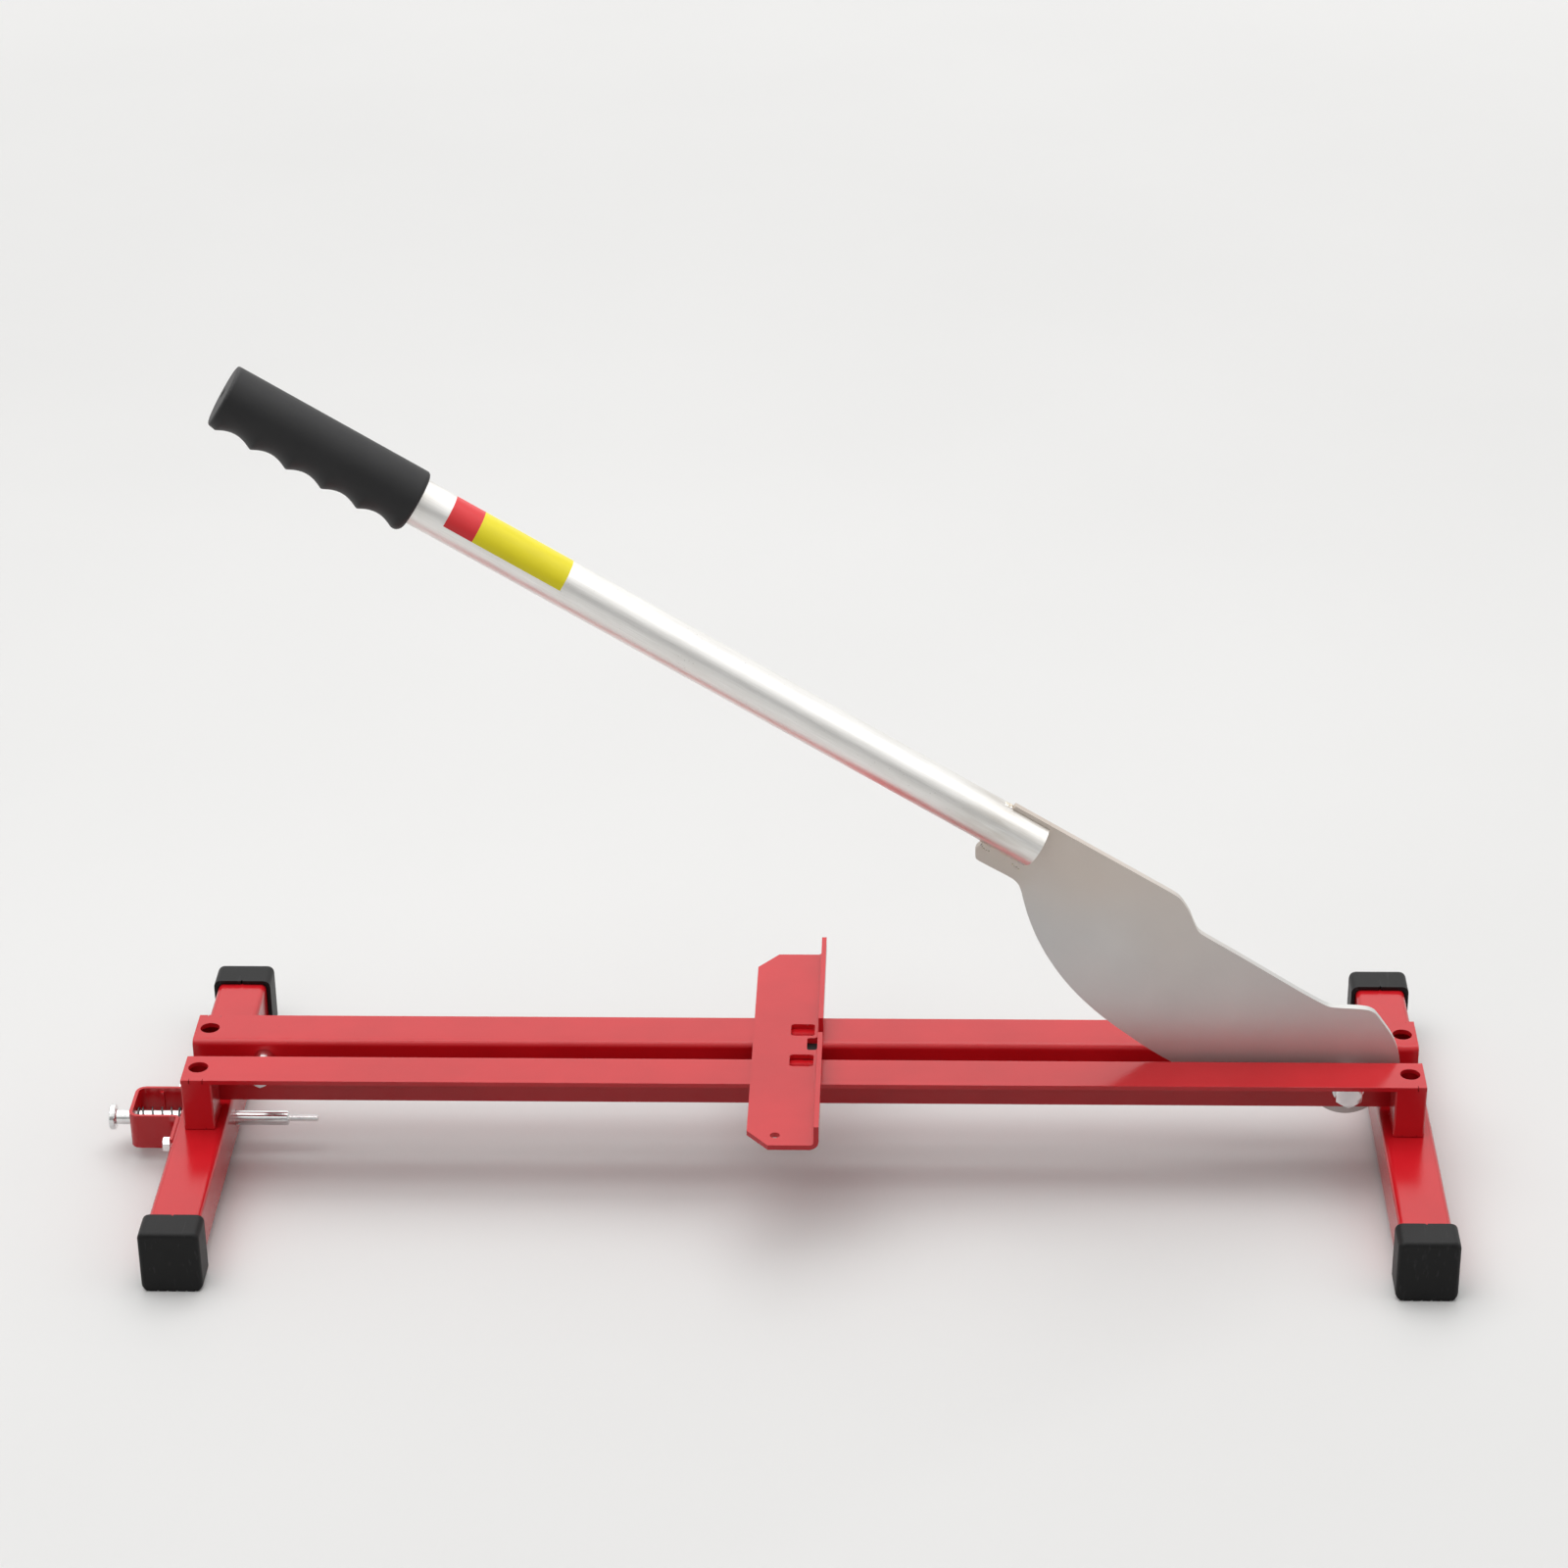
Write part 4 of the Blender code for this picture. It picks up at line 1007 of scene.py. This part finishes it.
def build_stop():
    """The rubber stop, with a head that fills the rails' rounded shoulders under the fence."""
    shoulder, height, length, end_inset = 0.0030, 0.0086, 0.0082, 0.0014
    flare = shoulder + seat_gap
    section = [(slot_half - seat_gap, rail_top - height)]
    for step in range(7):
        angle = math.radians(180.0 - 60.0 * step / 6)
        y = slot_half + shoulder + flare * math.cos(angle)
        section.append((y, rail_top - shoulder + flare * math.sin(angle)))
    section += [(-y, z) for y, z in reversed(section)]
    end = fence_high.x - end_inset
    mesh = bar("stop", section, end - length, end)
    mesh = eased(mesh, "slot_bumper_dressed", 0.0005, stop_rubber, 3)
    show("slot_bumper_dressed", mesh, "frame", ["slot_bumper"])


def build_shoes():
    """Moulded shoes with tread grooves across their soles."""
    groove_count, sole_margin, overrun = 6, 0.007, 0.01
    for side, end in corners:
        node = side + "_" + end + "_shoe"
        low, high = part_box(node)
        pitch = (high.x - low.x - sole_margin) / (groove_count - 1)
        length = high.y - low.y + overrun
        numbers = {"Count": groove_count, "Pitch": pitch, "Radius": 0.0006, "Length": length}
        bars = groove_recipe.bake("bars", shoe_plastic, **numbers)
        bars.transform(Matrix.Translation(((low.x + high.x) / 2, (low.y + high.y) / 2, low.z - 0.0001)))
        mesh = eased(node_copy(node), node + "_dressed", 0.00045, shoe_plastic, 2, 40.0, [outward(bars)])
        show(node + "_dressed", mesh, "frame", [node], 40.0)


# The lever

# The blade plate's outline as shares of its reach and rise, from the tab round to the tab
upper_edge_shares = [
    (-0.981, 0.967), (-0.570, 0.967), (-0.555, 0.944), (-0.540, 0.906), (-0.523, 0.858), (-0.507, 0.793),
    (-0.496, 0.755), (-0.487, 0.722), (-0.475, 0.706), (-0.388, 0.701), (-0.206, 0.678), (-0.151, 0.681),
    (-0.135, 0.694), (-0.068, 0.883), (-0.052, 0.894), (-0.043, 0.890), (0.026, 0.735), (0.068, 0.546),
    (0.086, 0.380),
]
belly_shares = [
    (-0.075, -0.560), (-0.125, -0.660), (-0.190, -0.748), (-0.250, -0.802), (-0.310, -0.830),
    (-0.360, -0.838), (-0.400, -0.834), (-0.440, -0.820), (-0.475, -0.801), (-0.510, -0.780),
    (-0.550, -0.749), (-0.590, -0.704), (-0.630, -0.645), (-0.670, -0.569), (-0.710, -0.474),
]
nose_shares = [(-0.748, -0.364), (-0.780, -0.254), (-0.8155, -0.109), (-0.842, 0.016)]
tab_edge_shares = [
    (-0.867, 0.146), (-0.882, 0.184), (-0.898, 0.195), (-0.982, 0.182), (-0.988, 0.200), (-1.000, 0.299),
    (-0.993, 0.389),
]


def softened(points, reach, steps, keep):
    """Rounds an outline's corners with short parabolas, apart from the points to keep."""
    result = []
    for index, here in enumerate(points):
        if index in keep:
            result.append(here)
            continue
        back, forth = points[index - 1] - here, points[(index + 1) % len(points)] - here
        first = here + back * min(0.5, reach / max(back.xy.length, 1e-9))
        second = here + forth * min(0.5, reach / max(forth.xy.length, 1e-9))
        for step in range(steps + 1):
            t = step / steps
            result.append(first * (1 - t) ** 2 + here * 2 * t * (1 - t) + second * t ** 2)
    clean = [result[0]]
    for point in result[1:]:
        if (point.xy - clean[-1].xy).length > 0.00015:
            clean.append(point)
    return clean


def curved(points, steps=6):
    """A smooth line through the points, evened by their distances."""
    result = []
    for index in range(len(points) - 1):
        here, after = points[index], points[index + 1]
        before = points[index - 1] if index else here * 2 - after
        beyond = points[index + 2] if index + 2 < len(points) else after * 2 - here
        pairs = ((before, here), (here, after), (after, beyond))
        a, b, c = (max((q.xy - p.xy).length, 1e-6) ** 0.5 for p, q in pairs)
        leave = (after - here) + ((here - before) / a - (after - before) / (a + b)) * b
        reach = (after - here) + ((beyond - after) / c - (beyond - here) / (b + c)) * b
        for step in range(steps):
            t = step / steps
            result.append(
                here * (2 * t ** 3 - 3 * t ** 2 + 1) + leave * (t ** 3 - 2 * t ** 2 + t)
                + after * (3 * t ** 2 - 2 * t ** 3) + reach * (t ** 3 - t ** 2)
            )
    return result + [points[-1]]


def plate_points(shares):
    return [Vector((u * plate_reach, v * plate_rise, 0.0)) for u, v in shares]


def blade_outline():
    """The plate's outline in the lever's axes, each point with its share of the grind."""
    points = plate_points(upper_edge_shares)
    for step in range(17):
        angle = math.radians(22.0 - 134.0 * step / 16)
        points.append(Vector((lobe_radius * math.cos(angle), lobe_radius * math.sin(angle), 0.0)))
    edge = plate_points(belly_shares)
    for index, point in enumerate(edge):
        point.z = math.sin(math.pi * (index + 0.5) / len(edge)) ** 0.35
    start = len(points)
    points += curved([points[-1]] + edge + plate_points(nose_shares))[1:]
    smooth = set(range(start, len(points)))
    points += plate_points(tab_edge_shares)
    return softened(points, 0.0060, 5, smooth | {0, len(points) - 1})


def build_blade():
    """The plate with its pivot bore, ground back from its belly's edge on the back face."""
    outline = blade_outline()
    half = plate_thickness / 2
    ground = []
    for index, point in enumerate(outline):
        way = (outline[(index + 1) % len(outline)].xy - outline[index - 1].xy).normalized()
        ground.append(point.xy + Vector((way.y, -way.x)) * grind_width * point.z)
    edge_land, beyond, bore_radius = 0.0006, half + 0.001, 0.0043
    levels = ((outline, -half), (outline, edge_land - half), (ground, half))
    mesh = solid("blade", [[Vector((p.x, y, p.y)) for p in line] for line, y in levels])
    profile = [(-beyond, 0.0), (-beyond, bore_radius), (beyond, bore_radius), (beyond, 0.0)]
    bore = turned("bore", profile, "Y", Vector(), blade_satin, 48)
    mesh = eased(mesh, "cutter_blade_dressed", 0.00035, blade_satin, 2, 50.0, [bore])
    mesh.materials.append(blade_ground)
    for polygon in mesh.polygons:
        sloped = 0.10 < polygon.normal.y < 0.997
        on_belly = polygon.center.z < 0.006 and polygon.area > 1.5e-6
        if sloped and on_belly:
            polygon.material_index = 1
    mesh.transform(lever_place)
    show("cutter_blade_dressed", mesh, "lever", ["cutter_blade"], 24.0)


def build_tube():
    """The handle tube, slit at its lower end for the blade's tab."""
    far, near, inner, overrun = -tube_end, -tube_start, tube_radius - tube_wall, 0.02
    profile = [(far, tube_radius), (near, tube_radius), (near, inner), (far, inner)]
    mesh = turned("tube", profile, "X", Vector((0.0, 0.0, tube_rise)), tube_drawn, 96)
    slit = box_mesh(
        (near - plate_insertion - seat_gap, -slit_half, tube_rise - overrun),
        (near + overrun, slit_half, tube_rise + overrun),
    )
    mesh = eased(mesh, "handle_tube_dressed", 0.0003, tube_drawn, 2, 40.0, [slit])
    mesh.transform(lever_place)
    show("handle_tube_dressed", mesh, "lever", ["handle_tube"], 40.0)


def build_tube_welds():
    """Seams where the plate leaves the tube's slit, the slit's filled end, and spatter on the tab."""
    seams = Seams(weld_bare, 11)
    low = tube_rise - tube_radius
    for y in (-0.0023, 0.0023):
        seams.add((-0.2248, y, low - 0.0001), (-0.2033, y, low + 0.0002), 0.00062, 0.0003, 0.22)
    seams.finish = weld_bright
    for start, end in (
        ((-0.2276, -0.0010, 0.0402), (-0.2246, -0.0012, 0.0405)),
        ((-0.2276, 0.0010, 0.0402), (-0.2246, 0.0012, 0.0405)),
        ((-0.2276, 0.0, 0.0182), (-0.2258, 0.0, 0.0180)),
    ):
        seams.add(start, end, 0.00125, 0.00028, 0.16)
    for x, z, radius in (
        (-0.2266, 0.0163, 0.00062), (-0.2255, 0.0157, 0.00045), (-0.2244, 0.0151, 0.00058),
        (-0.2229, 0.0150, 0.00036), (-0.2214, 0.0153, 0.00050), (-0.2126, 0.0151, 0.00030),
        (-0.2078, 0.0152, 0.00052), (-0.2066, 0.0147, 0.00038), (-0.2053, 0.0149, 0.00056),
        (-0.2039, 0.0145, 0.00042),
    ):
        seams.add((x, -0.0020, z), (x + 0.0001, -0.0020, z), radius, 0.001, 0.1)
    mesh = joined("tube_welds", seams.meshes)
    mesh.transform(lever_place)
    show("tube_welds", mesh, "lever", smooth_angle=60.0)


def build_grip():
    """The grip, pushed on until its end wall meets the tube's end."""
    mouth = grip_length - (tube_end + seat_gap + grip_end_wall)
    mesh = outward(grip_recipe.bake("handle_grip_dressed", grip_rubber))
    mesh.transform(lever_place @ Matrix.Translation((mouth, 0.0, tube_rise)))
    show("handle_grip_dressed", mesh, "lever", ["handle_grip"], 50.0)


def label_patch(start, end, finish):
    """A piece of printed film on the tube, from 2 to 102 degrees up its front."""
    steps, rise, sink = 24, 0.00014, 0.0001
    angles = [math.radians(2.0 + 100.0 * index / steps) for index in range(steps + 1)]
    section = []
    for radius, turns in ((tube_radius + rise, angles), (tube_radius - sink, angles[::-1])):
        section += [(-radius * math.cos(angle), tube_rise + radius * math.sin(angle)) for angle in turns]
    work = bmesh.new()
    loops = skin(work, [[Vector((-tube_start - x, y, z)) for y, z in section] for x in (start, end)])
    for loop in loops:
        for k in range(steps):
            work.faces.new((loop[k], loop[k + 1], loop[-2 - k], loop[-1 - k]))
    bmesh.ops.recalc_face_normals(work, faces=work.faces)
    mesh = to_mesh(work, "film")
    mesh.materials.append(finish)
    return mesh


def build_label():
    """A blank film in yellow and red, by its distances from the tube's start."""
    start, change, end = 0.2663, 0.3137, 0.3290
    films = [label_patch(start, change, label_yellow), label_patch(change, end, label_red)]
    mesh = joined("plain_label", films)
    mesh.transform(lever_place)
    soften_shading(mesh, 40.0)
    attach(link("plain_label", mesh), "lever")


# Hardware
def build_pivot():
    """The M8 bolt that the blade turns on, with its washers outside the rails."""
    near = slot_half + rail_wall + seat_gap
    thickness, hole = 0.0016, 0.0043
    seat = near + thickness + seat_gap
    nut_far = seat + 0.0065
    place = Matrix.Translation(pivot_point)
    bolt("pivot_bolt", place, flats=0.0130, seat=-seat, head_height=0.0053, radius=0.0040,
         tip=nut_far + 0.0030, thread_from=seat - 0.001, pitch=0.00125)
    nut("pivot_nut", place, 0.0130, seat, nut_far, 0.0006, hole)
    for node, side in (("pivot_front_washer", -1.0), ("pivot_back_washer", 1.0)):
        name = node + "_dressed"
        ring = washer(name, "Y", pivot_point, side * near, side * (near + thickness), hole, 0.0080, 56)
        show(name, ring, "frame", [node])


def build_tie():
    """The M6 bolt that ties the rails near their left ends."""
    low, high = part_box("tie_bolt")
    place = Matrix.Translation(((low.x + high.x) / 2, 0.0, (low.z + high.z) / 2))
    seat = slot_half + rail_wall + seat_gap
    bolt("tie_bolt", place, flats=0.0100, seat=-seat, head_height=0.0040, radius=0.0030,
         tip=seat + 0.0070, thread_from=seat - 0.001, pitch=0.0010)
    nut("tie_nut", place, 0.0100, seat, seat + 0.0050, 0.0005, 0.0033)


def build_strap_screws():
    """The M4 screws in the strap's ears, each on a washer."""
    thickness = 0.0010
    turn = Matrix.Rotation(math.radians(-90.0), 4, "Z")
    for node in ("strap_front_screw", "strap_back_screw"):
        low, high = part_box(node)
        seat = low.x + 0.0050
        middle = Vector((0.0, (low.y + high.y) / 2, (low.z + high.z) / 2))
        place = Matrix.Translation(middle + Vector((seat, 0.0, 0.0))) @ turn
        bolt(node, place, flats=0.0070, seat=-thickness, head_height=0.0040, radius=0.0020,
             tip=high.x - seat, thread_from=0.0025, pitch=0.0007)
        ring = washer(node + "_washer", "X", middle, seat, seat - thickness, 0.0021, 0.0046, 48)
        show(node + "_washer", ring, "frame")


def build_pin():
    """The pull pin with its dished head, the clip's groove and the thin locking tip."""
    left, right = pin_low.x, pin_high.x
    head_end = left + 0.0032
    body_end = right - 0.0150
    groove_left, groove_right = clip_low.x - 0.0003, clip_high.x + 0.00015
    shank, waist, tip = 0.00375, 0.00285, 0.0015
    profile = [
        (left + 0.00015, 0.0), (left + 0.00010, 0.0040), (left, 0.0052), (left + 0.0002, 0.0060),
        (left + 0.0007, 0.0065), (head_end - 0.0007, 0.0065), (head_end - 0.0002, 0.0062),
        (head_end, 0.0056), (head_end, 0.0042), (head_end + 0.0004, shank), (groove_left, shank),
        (groove_left, waist), (groove_right, waist), (groove_right, shank), (body_end - 0.0007, shank),
        (body_end - 0.0002, 0.0035), (body_end, 0.0031), (body_end, 0.0017), (body_end + 0.0003, tip),
        (right - 0.0006, tip), (right - 0.0001, 0.0011), (right, 0.0007), (right, 0.0),
    ]
    mesh = turned("latch_pin_dressed", profile, "X", Vector((0.0, 0.0, foot_line)), zinc_plate)
    show("latch_pin_dressed", outward(mesh), "pull_pin", ["latch_pin"])
    dress("latch_clip", "pull_pin", 0.0002, zinc_plate)


def build_spring():
    """The coil spring, with closer turns at both ends."""
    low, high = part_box("latch_spring")
    turns, wire, end_pitch, pull = 6.0, 0.0004, 0.0013, 0.012
    start, end = low.x + wire, high.x - wire
    open_pitch = (end - start - 2 * end_pitch) / (turns - 2.0)
    numbers = {"Turns": turns, "Wire": wire, "End_Pitch": end_pitch, "Open_Pitch": open_pitch}
    mesh = coil_recipe.bake("latch_spring_coil", spring_wire, **numbers)
    mesh.transform(Matrix.Translation((start, 0.0, foot_line)))
    item = show("latch_spring_coil", outward(mesh), "frame", ["latch_spring"], 60.0)
    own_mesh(item)


build_frame()
build_frame_welds()
build_shoes()
build_blade()
build_tube()
build_tube_welds()
build_grip()
build_label()
build_pivot()
build_tie()
build_strap_screws()
build_pin()
build_spring()
build_stop()
for node in ("pivot_front_spacer", "pivot_back_spacer", "tie_spacer"):
    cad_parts[node].data.materials.clear()
    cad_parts[node].data.materials.append(zinc_plate)


# Floor, light and camera
def seen_share(sheet):
    """1 where the eye, a mirror or glass looks straight at it, 0 where it only sheds light."""
    path = sheet.node("ShaderNodeLightPath")
    return (path["Is Camera Ray"] + path["Is Glossy Ray"] + path["Is Transmission Ray"]).at_most(1.0)


def make_floor():
    """A pale floor that sheds less light than it shows, and stays pale far from the lamps."""
    floor_y = 3.0
    sheet = Finish("floor_pale", Roughness=0.6, IOR=1.4, Emission_Strength=1.0)
    place = sheet.place()
    cloud = sheet.noise(place, 3.0, 3.0)
    across, depth, _ = sheet.parts(place)
    away = (across * across + (depth + floor_y) * (depth + floor_y)) ** 0.5
    far = away.ramp(0.9, 4.2, True) * seen_share(sheet)
    shown = sheet.blend(cloud.ramp(0.2, 0.8), (0.775, 0.772, 0.765), (0.800, 0.797, 0.790))
    finish = sheet.feed(
        Base_Color=sheet.blend(seen_share(sheet), (0.34, 0.336, 0.330), shown),
        Emission_Color=sheet.blend(far, (0.0, 0.0, 0.0), (0.58, 0.577, 0.57)),
    )
    work = bmesh.new()
    bmesh.ops.create_grid(work, x_segments=2, y_segments=2, size=9.0)
    mesh = to_mesh(work, "floor")
    mesh.materials.append(finish)
    floor = link("floor", mesh)
    floor.location = (0.0, floor_y, -0.0002)


def make_light():
    """Pale surroundings, brighter in a mirror above and to the right, a wide lamp and three weak ones."""
    world = bpy.data.worlds.new("studio")
    bpy.context.scene.world = world
    world.use_nodes = True
    sheet = Sheet(world.node_tree)
    background = world.node_tree.nodes["Background"]
    background.inputs["Color"].default_value = (1.0, 0.995, 0.985, 1.0)
    across, depth, height = sheet.parts(sheet.node("ShaderNodeTexCoord")["Generated"])
    ceiling = (0.8 * depth + 1.9 * height).ramp(0.10, 0.75, True)
    window = (1.2 * across + 0.5 * depth + 0.6 * height).ramp(0.05, 0.62, True)
    mirrored = 0.34 + 0.66 * ceiling.at_least(window)
    shed = 0.20 + 0.34 * height.at_least(0.0)
    strength = shed + seen_share(sheet) * (mirrored - shed)
    watched = sheet.node("ShaderNodeLightPath")["Is Camera Ray"]
    strength = strength + watched * (0.86 - strength)
    world.node_tree.links.new(strength.socket, background.inputs["Strength"])
    for name, power, size, spot, aim in (
        ("soft_top", 47.0, (3.4, 2.4), (-0.35, 0.45, 2.3), (0.0, 0.0, 0.1)),
        ("soft_front", 2.5, (1.4, 1.4), (-1.3, -1.9, 1.5), (0.0, 0.0, 0.1)),
        ("soft_right", 7.0, (1.8, 1.4), (2.0, -0.2, 1.8), (0.0, 0.0, 0.2)),
        ("soft_back", 6.0, (3.2, 1.2), (0.1, 3.2, 1.95), (0.0, 0.0, 0.1)),
    ):
        lamp = bpy.data.lights.new(name, "AREA")
        lamp.shape = "RECTANGLE"
        lamp.size, lamp.size_y = size
        lamp.energy = power
        item = link(name, lamp)
        item.location = spot
        item.rotation_euler = (Vector(aim) - Vector(spot)).to_track_quat("-Z", "Y").to_euler()
        item.visible_camera = False


def make_camera():
    """The picture's own camera, its focal length given in pixels of a square frame 1600 pixels wide."""
    focal_pixels, frame_pixels, sensor = 4127.634, 1600.0, 36.0
    pitch, yaw, roll = math.radians(27.6158), math.radians(-2.1302), math.radians(-0.7824)
    forward = Vector((math.sin(yaw) * math.cos(pitch), math.cos(yaw) * math.cos(pitch), -math.sin(pitch)))
    right = Vector((math.cos(yaw), -math.sin(yaw), 0.0))
    up = right.cross(forward)
    side = right * math.cos(roll) + up * math.sin(roll)
    top = up * math.cos(roll) - right * math.sin(roll)
    data = bpy.data.cameras.new("camera")
    data.sensor_width = sensor
    data.lens = focal_pixels / frame_pixels * sensor
    data.clip_end = 60.0
    camera = link("camera", data)
    turn = Matrix((side, top, -forward)).transposed().to_4x4()
    camera.matrix_world = Matrix.Translation((0.07527, -1.73089, 1.11590)) @ turn
    bpy.context.scene.camera = camera


make_floor()
make_light()
make_camera()
bpy.context.scene.view_settings.view_transform = "Standard"
